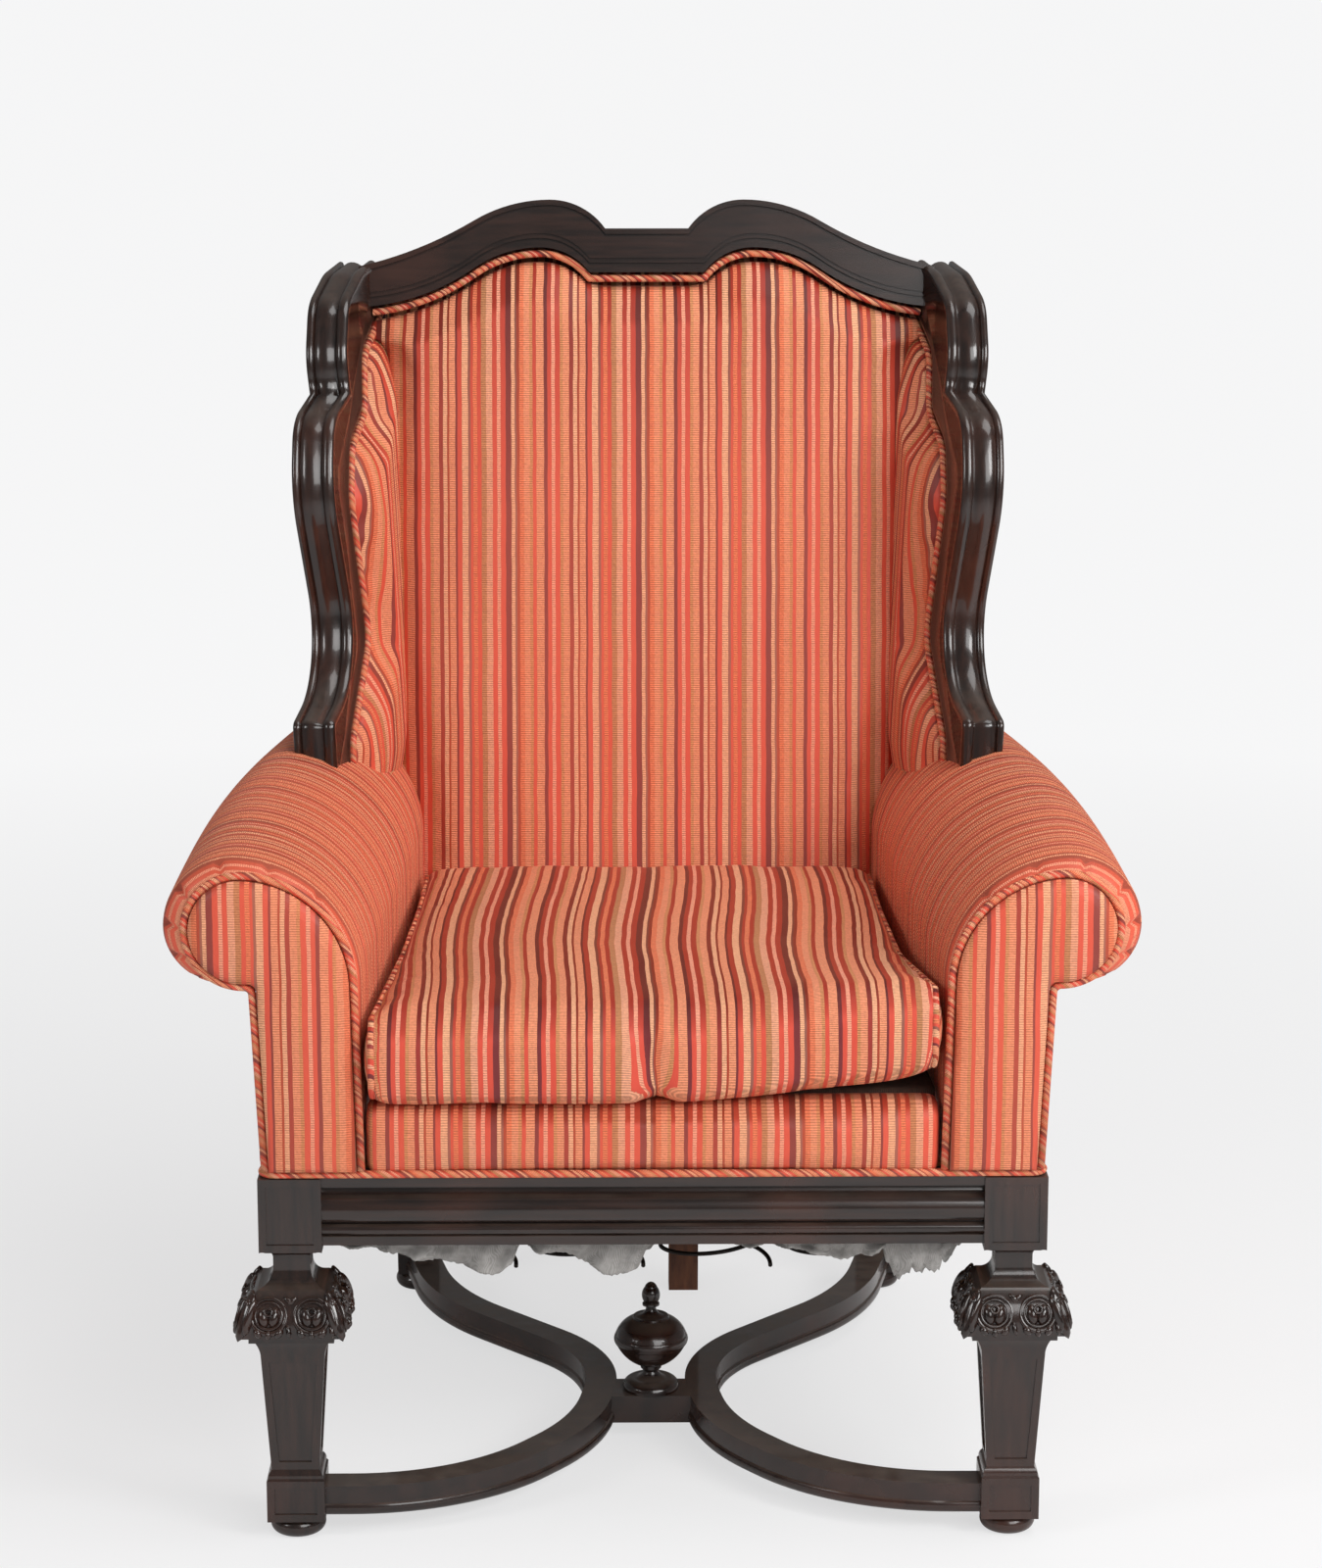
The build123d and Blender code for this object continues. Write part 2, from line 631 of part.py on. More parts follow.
ARM_OUTER = HALF - PANEL_THICK - 2 * CLOTH_GAP
ARM_REAR_OUTER = REAR_HALF + 12
ARM_START = PIPE_DEPTH + PIPE_GAP
ARM_END = SEAT_DEPTH + POST_DEPTH - 4
ARM_RAIL_END = SEAT_DEPTH + POST_DEPTH / 2
ARM_RAIL_LOW = ARM_TOP - 84
ARM_RAIL_HIGH = ARM_TOP - 40
ARM_RAIL_X = HALF - 26
ARM_RAIL_REAR_X = POST_X + 22


def run_bar(front_x, rear_x, front_y, rear_y, width, low, high):
    with BuildSketch(Plane((0, 0, low))) as plan:
        half = width / 2
        Polygon(
            (-front_x - half, front_y),
            (-front_x + half, front_y),
            (-rear_x + half, rear_y),
            (-rear_x - half, rear_y),
            align=None,
        )
    extrude(plan.sketch, amount=high - low)


def facing_edge(inset):
    scroll_x = HALF + 9
    scroll_z = ARM_TOP - 62
    scroll = 46.0 - inset
    inner = ARM_X + 5 + inset
    outer = HALF - 3 - inset
    shoulder = (-inner - 4, ARM_TOP - ROLL_HEIGHT + 2)
    top = (-scroll_x, scroll_z + scroll)
    left = (-scroll_x - scroll, scroll_z)
    under = (-scroll_x, scroll_z - scroll)
    rise = Line((-inner, CLOTH_LOW), shoulder)
    over = TangentArc(shoulder, top, tangent=rise % 1)
    down = TangentArc(top, left, tangent=over % 1)
    back = TangentArc(left, under, tangent=down % 1)
    heading = back % 1
    neck = Vector(*under) + heading * ((-outer - under[0]) / heading.X)
    foot = (FACING_LEAN - outer, CLOTH_LOW)
    FilletPolyline(under, (neck.X, neck.Y), foot, radius=7)
    return (-inner, CLOTH_LOW), foot


def facing_outline(inset):
    with BuildLine() as outline:
        first, last = facing_edge(inset)
        Line(first, last)
    make_face(outline.edges())


FACING_FACE = FRONT - FACING_PROUD
with BuildPart() as arm_facing:
    with BuildSketch(Plane((0, FACING_FACE, 0), x_dir=(1, 0, 0), z_dir=(0, -1, 0))):
        facing_outline(0)
    extrude(amount=-FACING_THICK)

STUMP_FRONT = FACING_FACE + FACING_THICK + CLOTH_GAP
with BuildPart() as arm_stump:
    with BuildSketch(Plane((0, STUMP_FRONT, 0), x_dir=(1, 0, 0), z_dir=(0, -1, 0))):
        facing_outline(6)
    extrude(amount=-STUMP_THICK)
    with BuildSketch(Plane((-(ARM_X + HALF) / 2, STUMP_FRONT + PIPING + STUMP_THICK / 2, RAIL_TOP))):
        Rectangle(HALF - ARM_X - 24, STUMP_THICK - 2 * PIPING)
    extrude(amount=CLOTH_LOW - RAIL_TOP + 2)

STUMP_BACK = STUMP_FRONT + STUMP_THICK
with BuildPart() as arm_rail:
    run_bar(ARM_RAIL_X, ARM_RAIL_REAR_X, STUMP_BACK, FRONT + ARM_RAIL_END, 30, ARM_RAIL_LOW, ARM_RAIL_HIGH)
    cut(rear_post.part)

TACK_LOW = RAIL_TOP + 22
with BuildPart() as arm_tacking_rail:
    run_bar(
        (ARM_X + HALF) / 2,
        (ARM_REAR_X + REAR_HALF) / 2,
        STUMP_BACK,
        FRONT + ARM_RAIL_END,
        24,
        TACK_LOW,
        TACK_LOW + 30,
    )
    cut(rear_post.part)

POCKET_DEEPER = 3.0
with BuildPart() as arm_block:
    for depth, inner, outer, roll in (
        (ARM_START, ARM_X, ARM_OUTER, ROLL_OUT),
        (ARM_END, ARM_REAR_X, ARM_REAR_OUTER, ROLL_REAR_OUT),
    ):
        with BuildSketch(Plane((0, FRONT + depth, 0), x_dir=(1, 0, 0), z_dir=(0, -1, 0))):
            arm_outline(inner, outer, roll, ARM_TOP)
    loft(ruled=True)
    cut(arm_stump.part, arm_rail.part, arm_tacking_rail.part, rear_post.part, lower_back_rail.part)
    foot_reach = WING_CLOTH[1][0]
    for start, finish, low, high in (
        (0, foot_reach, 0, WING_THICK),
        (WING_CLOTH[0][0], WING_REAR_TOP, -PANEL_THICK, WING_THICK + WING_PAD_PROUD),
    ):
        with BuildSketch(WING.offset(low - CLOTH_GAP)):
            with Locations(((start + finish) / 2, 0)):
                Rectangle(finish - start + 2 * CLOTH_GAP, 2 * (WING_SINK + POCKET_DEEPER))
        extrude(amount=high - low + 2 * CLOTH_GAP, mode=Mode.SUBTRACT)

with BuildPart() as arm_pad:
    add(arm_block.part.solids().sort_by(SortBy.VOLUME)[-1])

with BuildPart() as outside_arm:
    run_bar(
        HALF - PANEL_THICK / 2,
        ARM_REAR_OUTER + CLOTH_GAP + PANEL_THICK / 2,
        STUMP_BACK,
        FRONT + ARM_END,
        PANEL_THICK,
        CLOTH_LOW,
        ARM_TOP - ROLL_HEIGHT - 10,
    )
    cut(arm_stump.part, arm_pad.part, rear_post.part)

left_arm = (arm_pad.part, wing_pad.part, wing_frame.part, wing_piping.part)
right_arm = [mirror(part, about=Plane.YZ, mode=Mode.PRIVATE) for part in left_arm]


# Back pad under the crest, between the arms and the wings
PAD_LOW = DECK_TOP - RAIL_TOP - 8
with BuildPart() as back_pad:
    with BuildSketch(BACK.offset(CLOTH_GAP)):
        with BuildLine():
            end = crest_edge(True, -2 * CREST_PIPE_DROP)
            Polyline(end, (-ARM_REAR_X + 2, PAD_LOW), (0, PAD_LOW))
            mirror(about=Plane.YZ)
        make_face()
    extrude(amount=BACK_PAD_THICK - BACK_PAD_ROUND)
    with BuildSketch(BACK.offset(CLOTH_GAP + BACK_PAD_THICK - BACK_PAD_ROUND)):
        with BuildLine():
            end = crest_edge(True, -2 * CREST_PIPE_DROP)
            Polyline(end, (-ARM_REAR_X + 2, PAD_LOW), (0, PAD_LOW))
            mirror(about=Plane.YZ)
        make_face()
    extrude(amount=BACK_PAD_ROUND, taper=40)
    cut(*left_arm, *right_arm)

OUTSIDE_LOW = 10.0
with BuildPart() as outside_back:
    with BuildSketch(BACK.offset(-POST_DEPTH - CLOTH_GAP)):
        with BuildLine():
            end = crest_edge(True, -CLOTH_GAP)
            top_corner = (-REAR_HALF - BACK_SPLAY, end[1])
            Polyline(end, top_corner, (-REAR_HALF, OUTSIDE_LOW), (0, OUTSIDE_LOW))
            mirror(about=Plane.YZ)
        make_face()
    extrude(amount=-PANEL_THICK)

# Front border, deck pad and the hessian that the springs are sewn to
with BuildPart() as front_border:
    with BuildSketch(Plane((0, FRONT + CLOTH_GAP, 0), x_dir=(0, 1, 0), z_dir=(1, 0, 0))):
        with BuildLine():
            Polyline((0, CLOTH_LOW), (0, CLOTH_LOW + BORDER_HEIGHT - 16))
            RadiusArc((0, CLOTH_LOW + BORDER_HEIGHT - 16), (16, CLOTH_LOW + BORDER_HEIGHT), 16)
            Polyline(
                (16, CLOTH_LOW + BORDER_HEIGHT),
                (BORDER_THICK, CLOTH_LOW + BORDER_HEIGHT),
                (BORDER_THICK, RAIL_TOP + GAP),
                (PIPE_DEPTH + PIPE_GAP, RAIL_TOP + GAP),
                (PIPE_DEPTH + PIPE_GAP, CLOTH_LOW),
                (0, CLOTH_LOW),
            )
        make_face()
    extrude(amount=ARM_X - PIPE + CLOTH_GAP, both=True)
    cut(*left_arm, *right_arm)


def deck_plan(low, high, gap):
    with BuildSketch(Plane((0, 0, low))) as plan:
        start = FRONT + BORDER_THICK + 2 * CLOTH_GAP
        finish = FRONT + SEAT_DEPTH - BACK_PAD_THICK - 4
        slope = ARM_TAPER / ARM_END
        wide = ARM_X - gap - slope * (start - FRONT)
        narrow = ARM_X - gap - slope * (finish - FRONT)
        Polygon((-wide, start), (wide, start), (narrow, finish), (-narrow, finish), align=None)
    extrude(plan.sketch, amount=high - low)


with BuildPart() as seat_deck_pad:
    deck_plan(DECK_TOP - DECK_THICK, DECK_TOP, CUSHION_GAP)

HESSIAN_LOW = DECK_TOP - DECK_THICK - HESSIAN_THICK
with BuildPart() as spring_hessian:
    deck_plan(HESSIAN_LOW, HESSIAN_LOW + HESSIAN_THICK, CUSHION_GAP)

# Loose cushion: crowned, drawn in at the sides, rolled over at the front and back
CUSHION_LOW = DECK_TOP + GAP
CUSHION_REAR = SEAT_DEPTH - BACK_PAD_THICK - 2 * CUSHION_GAP
CUSHION_BULGE = 8.0
CUSHION_DRAW = 5.0
NOSE_ROUND = 34.0
TAIL_ROUND = 24.0
steps = [step * pi / 8 for step in range(5)]
length = CUSHION_REAR + CUSHION_NOSE
stations = [(NOSE_ROUND * (1 - cos(step)), 1 - sin(step)) for step in steps]
stations += [(length * share, 0) for share in (0.3, 0.5, 0.7)]
stations += [(length - TAIL_ROUND * (1 - cos(step)), 1 - sin(step)) for step in reversed(steps)]
with BuildPart() as seat_cushion:
    for run, shrink in stations:
        depth = run - CUSHION_NOSE
        swell = sin(pi * run / length)
        taper = ARM_TAPER * max(depth, 0) / ARM_END
        half = ARM_X - CUSHION_GAP - taper - CUSHION_BULGE * shrink - CUSHION_DRAW * swell
        low = CUSHION_LOW + 14 * shrink
        high = CUSHION_LOW + CUSHION_HEIGHT - 26 * shrink
        crown = 1 + CUSHION_CROWN * swell
        edge = half - CUSHION_BULGE
        with BuildSketch(Plane((0, FRONT + depth, 0), x_dir=(1, 0, 0), z_dir=(0, -1, 0))):
            with BuildLine():
                Line((-edge, low), (edge, low))
                ThreePointArc((edge, low), (half, (low + high) / 2), (edge, high))
                ThreePointArc((edge, high), (0, high + crown), (-edge, high))
                ThreePointArc((-edge, high), (-half, (low + high) / 2), (-edge, low))
            make_face()
    loft(ruled=True)


# Seat springs: hourglass coils of one wire each, hung from the hessian
def spring_point(turn):
    run = turn / SPRING_TURNS
    waist = abs(2 * run - 1)
    radius = SPRING_WAIST + (SPRING_RADIUS - SPRING_WAIST) * min(1, 1.25 * waist)
    length = HESSIAN_LOW - GAP - SPRING_RISE - SPRING_LOW - SPRING_WIRE
    angle = 2 * pi * turn
    return Vector(radius * cos(angle), radius * sin(angle), SPRING_LOW + SPRING_WIRE / 2 + length * run)


SPRING_LOW = RAIL_LOW - SPRING_DROP
SPRING_RISE = 0.15 * SPRING_WIRE
STEP = 0.001
points = [spring_point(quarter / 4) for quarter in range(4 * SPRING_TURNS + 1)]
heads = [
    (spring_point(quarter / 4 + STEP) - spring_point(quarter / 4 - STEP)).normalized()
    for quarter in range(4 * SPRING_TURNS + 1)
]
with BuildPart() as one_spring:
    with BuildLine() as coil:
        Line(points[0] - heads[0] * SPRING_WIRE, points[0])
        for quarter in range(4 * SPRING_TURNS):
            start, finish = points[quarter], points[quarter + 1]
            leave, arrive = heads[quarter], heads[quarter + 1]
            chord = finish - start
            spread = 2 * (1 - leave.dot(arrive))
            along = chord.dot(leave + arrive)
            reach = ((along * along + spread * chord.dot(chord)) ** 0.5 - along) / spread
            joint = (start + leave * reach + finish - arrive * reach) * 0.5
            arc = TangentArc(start, joint, tangent=leave)
            TangentArc(joint, finish, tangent=arc % 1)
        Line(points[-1], points[-1] + heads[-1] * SPRING_WIRE)
    with BuildSketch(Plane(points[0] - heads[0] * SPRING_WIRE, z_dir=heads[0])):
        Circle(SPRING_WIRE / 2)
    sweep(path=coil.line)

with BuildPart() as seat_springs:
    spring_middle = FRONT + (SEAT_DEPTH - BACK_PAD_THICK + BORDER_THICK) / 2 - 5
    with Locations((0, spring_middle, 0)):
        with GridLocations(SPRING_PITCH_X, SPRING_PITCH_Y, 4, 3):
            add(one_spring.part)

samples = [coil.line @ (step / 2000) for step in range(2001)]
apart = 2000 // (2 * SPRING_TURNS)
least = min(
    (samples[first] - samples[second]).length
    for first in range(0, 2001, 5)
    for second in range(first + apart, 2001, 5)
)
print("least gap in a spring", round(least - SPRING_WIRE, 2), "mm")

# Stretcher halves: swept along the serpentine, with a bead along the lower edges
with BuildPart() as stretcher:
    with BuildSketch(Plane(serpentine.line @ 0, x_dir=(0, 1, 0), z_dir=(1, 0, 0))):
        half = STRETCHER_WIDTH / 2
        side = half - STRETCHER_BEAD
        with BuildLine():
            Polyline(
                (-side, 0),
                (side, 0),
                (side, -STRETCHER_THICK * 0.62),
                (half - 1, -STRETCHER_THICK * 0.66),
            )
            ThreePointArc(
                (half - 1, -STRETCHER_THICK * 0.66),
                (half, -STRETCHER_THICK * 0.8),
                (half - 1, -STRETCHER_THICK * 0.94),
            )
            Polyline((half - 1, -STRETCHER_THICK * 0.94), (side, -STRETCHER_THICK), (0, -STRETCHER_THICK))
            mirror(about=Plane.YZ)
        make_face()
    sweep(path=serpentine.line)
    cut(rear_post.part, front_leg.part, dowels(2 * GAP))

with BuildPart() as stretcher_block:
    with BuildSketch(Plane((0, FRONT + WAIST_DEPTH - 8, STRETCHER_TOP - STRETCHER_THICK))):
        Rectangle(2 * WAIST_X + 10, BLOCK_DEPTH)
    extrude(amount=STRETCHER_THICK)
    cut(stretcher.part, mirror(stretcher.part, about=Plane.YZ, mode=Mode.PRIVATE))
    with BuildSketch(Plane((0, FRONT + WAIST_DEPTH - 8, STRETCHER_TOP))):
        Circle(SPIGOT_WIDTH / 2 + GAP)
    extrude(amount=-SPIGOT_LENGTH - GAP, mode=Mode.SUBTRACT)

# Finial: turned urn on a spreading base, with a spigot in the block
with BuildPart() as finial:
    with BuildSketch(Plane((0, FRONT + WAIST_DEPTH - 8, STRETCHER_TOP), x_dir=(1, 0, 0), z_dir=(0, -1, 0))):
        wide = FINIAL_WIDTH / 2
        tip = FINIAL_HEIGHT
        with BuildLine():
            Polyline(
                (0, -SPIGOT_LENGTH),
                (SPIGOT_WIDTH / 2, -SPIGOT_LENGTH),
                (SPIGOT_WIDTH / 2, 0),
                (wide * 0.74, 0),
                (wide * 0.77, 3),
            )
            ThreePointArc((wide * 0.77, 3), (wide * 0.7, 8), (wide * 0.5, 11))
            ThreePointArc((wide * 0.5, 11), (wide * 0.28, 13.5), (wide * 0.2, 18))
            Polyline((wide * 0.2, 18), (wide * 0.28, 21), (wide * 0.28, 24))
            ThreePointArc((wide * 0.28, 24), (wide * 0.66, 32), (wide * 0.93, 45))
            ThreePointArc((wide * 0.93, 45), (wide, 50), (wide * 0.96, 55))
            ThreePointArc((wide * 0.96, 55), (wide * 0.78, 65.5), (wide * 0.5, 71.5))
            Line((wide * 0.5, 71.5), (wide * 0.47, 73.5))
            ThreePointArc((wide * 0.47, 73.5), (wide * 0.2, 76.5), (wide * 0.13, 82))
            Polyline((wide * 0.13, 82), (wide * 0.23, 84), (wide * 0.23, 86), (wide * 0.18, 87))
            egg = tip - 87
            ThreePointArc((wide * 0.18, 87), (wide * 0.245, 87 + egg * 0.4), (wide * 0.17, 87 + egg * 0.75))
            ThreePointArc((wide * 0.17, 87 + egg * 0.75), (wide * 0.11, 87 + egg * 0.92), (wide * 0.03, tip))
            Polyline((wide * 0.03, tip), (0, tip), (0, -SPIGOT_LENGTH))
        make_face()
    revolve(axis=Axis((0, FRONT + WAIST_DEPTH - 8, 0), (0, 0, 1)))

# Piping on the rail, round the arm facings and under the crest
with BuildPart() as rail_piping:
    pipe_z = RAIL_TOP + PIPE_GAP
    bend = on_side(PIPE_DEPTH, FRONT + PIPE_DEPTH)
    rear = on_side(PIPE_DEPTH, FRONT + SEAT_DEPTH - CLOTH_GAP)
    with BuildLine(Plane.XY.offset(pipe_z)) as route:
        FilletPolyline((rear.X, rear.Y), (bend.X, bend.Y), (-bend.X, bend.Y), (-rear.X, rear.Y), radius=12)
    with BuildSketch(Plane(route.line @ 0, z_dir=route.line % 0)):
        Circle(PIPE)
    sweep(path=route.line)

with BuildLine() as facing_route:
    facing_edge(-PIPE_GAP)
facing_line = Plane((0, FRONT + PIPE_DEPTH - 1, 0), x_dir=(1, 0, 0), z_dir=(0, -1, 0)) * facing_route.line
with BuildPart() as facing_piping:
    with BuildSketch(Plane(facing_line @ 0, z_dir=facing_line % 0)):
        Circle(PIPE)
    sweep(path=facing_line)

CREST_PIPE = BACK.offset(CREST_PROUD - PIPE)
with BuildLine() as flat_route:
    Line((-CREST_LOW_X, CREST_LOW - CREST_PIPE_DROP), (0, CREST_LOW - CREST_PIPE_DROP))
with BuildLine() as arch_route:
    crest_edge(True, -CREST_PIPE_DROP, flat=False)
crest_lines = (CREST_PIPE * flat_route.line, CREST_PIPE * arch_route.line)
with BuildPart() as crest_piping:
    for crest_line in crest_lines:
        with BuildSketch(Plane(crest_line @ 0, z_dir=crest_line % 0)):
            Circle(PIPE)
        sweep(path=crest_line)
    with Locations(crest_lines[0] @ 0):
        Sphere(PIPE)
    cut(wing_frame.part, wing_pad.part, wing_piping.part)
    mirror(about=Plane.YZ)

# Torn dust cover: flaps that hang in folds behind the front rail, and a strip left at the back
FLAP_TOP = RAIL_LOW - GAP
flaps = (
    (
        -286.0,
        310.0,
        ((0.0, 5), (0.22, 16), (0.42, 29), (0.48, 33), (0.55, 12), (0.7, 23), (0.81, 35), (0.9, 22), (1.0, 8)),
    ),
    (60.0, 62.0, ((0.0, 9), (0.5, 15), (1.0, 7))),
    (214.0, 62.0, ((0.0, 22), (0.08, 43), (0.4, 34), (0.75, 28), (1.0, 12))),
)
with BuildPart() as dust_cover:
    for start_x, span, tears in flaps:
        waves = round(span / FLAP_WAVE)
        with BuildSketch(Plane((start_x, FRONT + FLAP_DEPTH, FLAP_TOP - FLAP_DROP))):
            with BuildLine():
                for wave in range(waves):
                    sway = FLAP_SWAY if wave % 2 else -FLAP_SWAY
                    for back in (0, COVER_THICK):
                        ThreePointArc(
                            (wave * FLAP_WAVE, back),
                            ((wave + 0.5) * FLAP_WAVE, back + sway),
                            ((wave + 1) * FLAP_WAVE, back),
                        )
                Line((0, 0), (0, COVER_THICK))
                Line((waves * FLAP_WAVE, 0), (waves * FLAP_WAVE, COVER_THICK))
            make_face()
        extrude(amount=FLAP_DROP)
        length = waves * FLAP_WAVE
        with BuildSketch(Plane((start_x, FRONT + FLAP_DEPTH, FLAP_TOP), x_dir=(1, 0, 0), z_dir=(0, -1, 0))):
            below = -FLAP_DROP - 1
            edge = [(share * (length + 2) - 1, -fall) for share, fall in tears]
            Polygon((-1, below), *edge, (length + 1, below), align=None)
        extrude(amount=3 * FLAP_SWAY, both=True, mode=Mode.SUBTRACT)
    with BuildSketch(Plane((0, 0, FLAP_TOP - COVER_THICK))):
        rear_edge = REAR_INNER + REAR_RAIL_THICK - 2
        near = on_side(RAIL_THICK / 2, rear_edge - COVER_STRIP)
        rear = on_side(RAIL_THICK / 2, rear_edge)
        Polygon((near.X, near.Y), (-near.X, near.Y), (-rear.X, rear.Y), (rear.X, rear.Y), align=None)
    extrude(amount=COVER_THICK)
    cut(*rear_posts, rear_centre_leg.part)

bun_y = {"front": (LEG_X, LEG_Y), "rear": (POST_X, POST_FOOT_Y)}
for end, (x, y) in bun_y.items():
    save_pair(bun_foot(-x, y), f"{end}_bun_foot")

save_pair(front_leg.part, "front_leg")
save_pair(rear_post.part, "rear_post")
save(rear_centre_leg.part, "rear_centre_leg")
save(front_rail.part, "front_rail")
save_pair(side_rail.part, "side_rail")
save(rear_rail.part, "rear_rail")
save(lower_back_rail.part, "lower_back_rail")
save(corner_braces.part, "corner_braces")
save(brace_screw_set.part, "brace_screws")
save(crest_rail.part, "crest_rail")
save_pair(wing_frame.part, "wing_frame")
save_pair(arm_stump.part, "arm_stump")
save_pair(arm_rail.part, "arm_rail")
save_pair(arm_tacking_rail.part, "arm_tacking_rail")
save_pair(stretcher.part, "stretcher")
save(stretcher_block.part, "stretcher_block")
save(stretcher_dowels.part, "stretcher_dowels")
save(finial.part, "finial")
save(seat_springs.part, "seat_springs")
save(spring_hessian.part, "spring_hessian")
save(seat_deck_pad.part, "seat_deck_pad")
save(front_border.part, "front_border")
save(seat_cushion.part, "seat_cushion")
save(back_pad.part, "back_pad")
save_pair(wing_pad.part, "wing_pad")
save_pair(arm_pad.part, "arm_pad")
save_pair(arm_facing.part, "arm_facing")
save_pair(outside_arm.part, "outside_arm")
save_pair(outside_wing.part, "outside_wing")
save(outside_back.part, "outside_back")
save(rail_piping.part, "rail_piping")
save_pair(facing_piping.part, "facing_piping")
save_pair(wing_piping.part, "wing_piping")
save(crest_piping.part, "crest_piping")
save(dust_cover.part, "dust_cover")
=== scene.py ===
from math import asin, atan2, copysign, cos, pi, radians, sin

import bmesh
import bpy
from mathutils import Matrix, Vector, noise
from mathutils.bvhtree import BVHTree


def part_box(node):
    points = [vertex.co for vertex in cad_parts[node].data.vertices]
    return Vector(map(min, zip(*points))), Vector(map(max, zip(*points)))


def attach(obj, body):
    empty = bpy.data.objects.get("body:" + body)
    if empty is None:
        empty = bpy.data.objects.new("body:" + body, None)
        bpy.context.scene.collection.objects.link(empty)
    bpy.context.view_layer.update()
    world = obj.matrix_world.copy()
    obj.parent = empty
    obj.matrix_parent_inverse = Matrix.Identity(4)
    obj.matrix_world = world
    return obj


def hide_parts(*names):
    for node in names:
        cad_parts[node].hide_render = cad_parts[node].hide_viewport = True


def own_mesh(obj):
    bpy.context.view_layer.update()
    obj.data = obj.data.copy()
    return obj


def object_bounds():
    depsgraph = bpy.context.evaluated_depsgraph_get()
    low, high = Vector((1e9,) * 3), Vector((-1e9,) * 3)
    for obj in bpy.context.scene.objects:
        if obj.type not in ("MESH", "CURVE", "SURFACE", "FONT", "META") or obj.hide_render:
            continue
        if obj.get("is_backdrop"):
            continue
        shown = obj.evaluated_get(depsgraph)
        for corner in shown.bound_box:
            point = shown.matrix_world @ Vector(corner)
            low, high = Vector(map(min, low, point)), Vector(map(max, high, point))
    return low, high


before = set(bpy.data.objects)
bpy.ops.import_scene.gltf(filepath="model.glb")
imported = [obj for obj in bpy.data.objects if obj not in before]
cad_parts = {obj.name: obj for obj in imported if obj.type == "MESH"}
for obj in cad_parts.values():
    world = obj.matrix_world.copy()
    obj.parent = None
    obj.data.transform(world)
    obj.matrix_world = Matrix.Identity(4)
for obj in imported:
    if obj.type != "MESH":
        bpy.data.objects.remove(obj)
cad_low, cad_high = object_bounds()
scene = bpy.context.scene
scene.view_settings.view_transform = "Standard"


# Studio: a pale floor that runs out of sight, four soft lamps and a camera
# at head height a few steps in front of the chair, tilted down at the seat.
def paint(finish, kind, inputs=None, **settings):
    node = finish.node_tree.nodes.new("ShaderNode" + kind)
    for key, value in settings.items():
        setattr(node, key, value)
    for key, value in (inputs or {}).items():
        if isinstance(value, bpy.types.NodeSocket):
            finish.node_tree.links.new(value, node.inputs[key])
        else:
            node.inputs[key].default_value = value
    return node


def new_finish(name):
    finish = bpy.data.materials.new(name)
    finish.use_nodes = True
    return finish, finish.node_tree.nodes["Principled BSDF"]


def screen_colour(red, green, blue):
    shares = [channel / 255 for channel in (red, green, blue)]
    return [s / 12.92 if s <= 0.04045 else ((s + 0.055) / 1.055) ** 2.4 for s in shares] + [1.0]


def piece(name, shape):
    made = bpy.data.objects.new(name, bpy.data.meshes.new(name))
    scene.collection.objects.link(made)
    shape.to_mesh(made.data)
    shape.free()
    made.data.shade_smooth()
    return made


floor_shape = bmesh.new()
bmesh.ops.create_circle(floor_shape, cap_ends=True, segments=96, radius=90)
floor = piece("studio_floor", floor_shape)
floor_finish, floor_shader = new_finish("pale_floor")
floor_shader.inputs["Base Color"].default_value = (0.84, 0.84, 0.84, 1)
floor_shader.inputs["Roughness"].default_value = 0.8
floor_place = paint(floor_finish, "TexCoord").outputs["Object"]
far_off = paint(floor_finish, "VectorMath", {0: floor_place}, operation="LENGTH")
paling = paint(floor_finish, "MapRange", {"Value": far_off.outputs["Value"]})
paling.inputs["From Min"].default_value = 0.5
paling.inputs["From Max"].default_value = 3.2
paling.inputs["To Min"].default_value = 0.66
paling.inputs["To Max"].default_value = 0.94
seen = paint(floor_finish, "LightPath").outputs["Is Camera Ray"]
shown = paint(floor_finish, "Math", {0: paling.outputs["Result"], 1: seen}, operation="MULTIPLY")
bright = paint(floor_finish, "Emission", {"Color": (0.965, 0.965, 0.97, 1), "Strength": 1.0})
mixed_floor = paint(floor_finish, "MixShader", {"Fac": shown.outputs["Value"]})
floor_finish.node_tree.links.new(floor_shader.outputs["BSDF"], mixed_floor.inputs[1])
floor_finish.node_tree.links.new(bright.outputs["Emission"], mixed_floor.inputs[2])
floor_output = floor_finish.node_tree.nodes["Material Output"]
floor_finish.node_tree.links.new(mixed_floor.outputs["Shader"], floor_output.inputs["Surface"])
floor.data.materials.append(floor_finish)
floor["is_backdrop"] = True

world = bpy.data.worlds.new("studio_air")
world.use_nodes = True
air = world.node_tree.nodes["Background"]
air.inputs["Color"].default_value = (1, 1, 1, 1)
seen_air = paint(world, "LightPath").outputs["Is Camera Ray"]
glow = paint(world, "Math", {0: seen_air, 1: 0.7, 2: 0.22}, operation="MULTIPLY_ADD")
world.node_tree.links.new(glow.outputs["Value"], air.inputs["Strength"])
scene.world = world

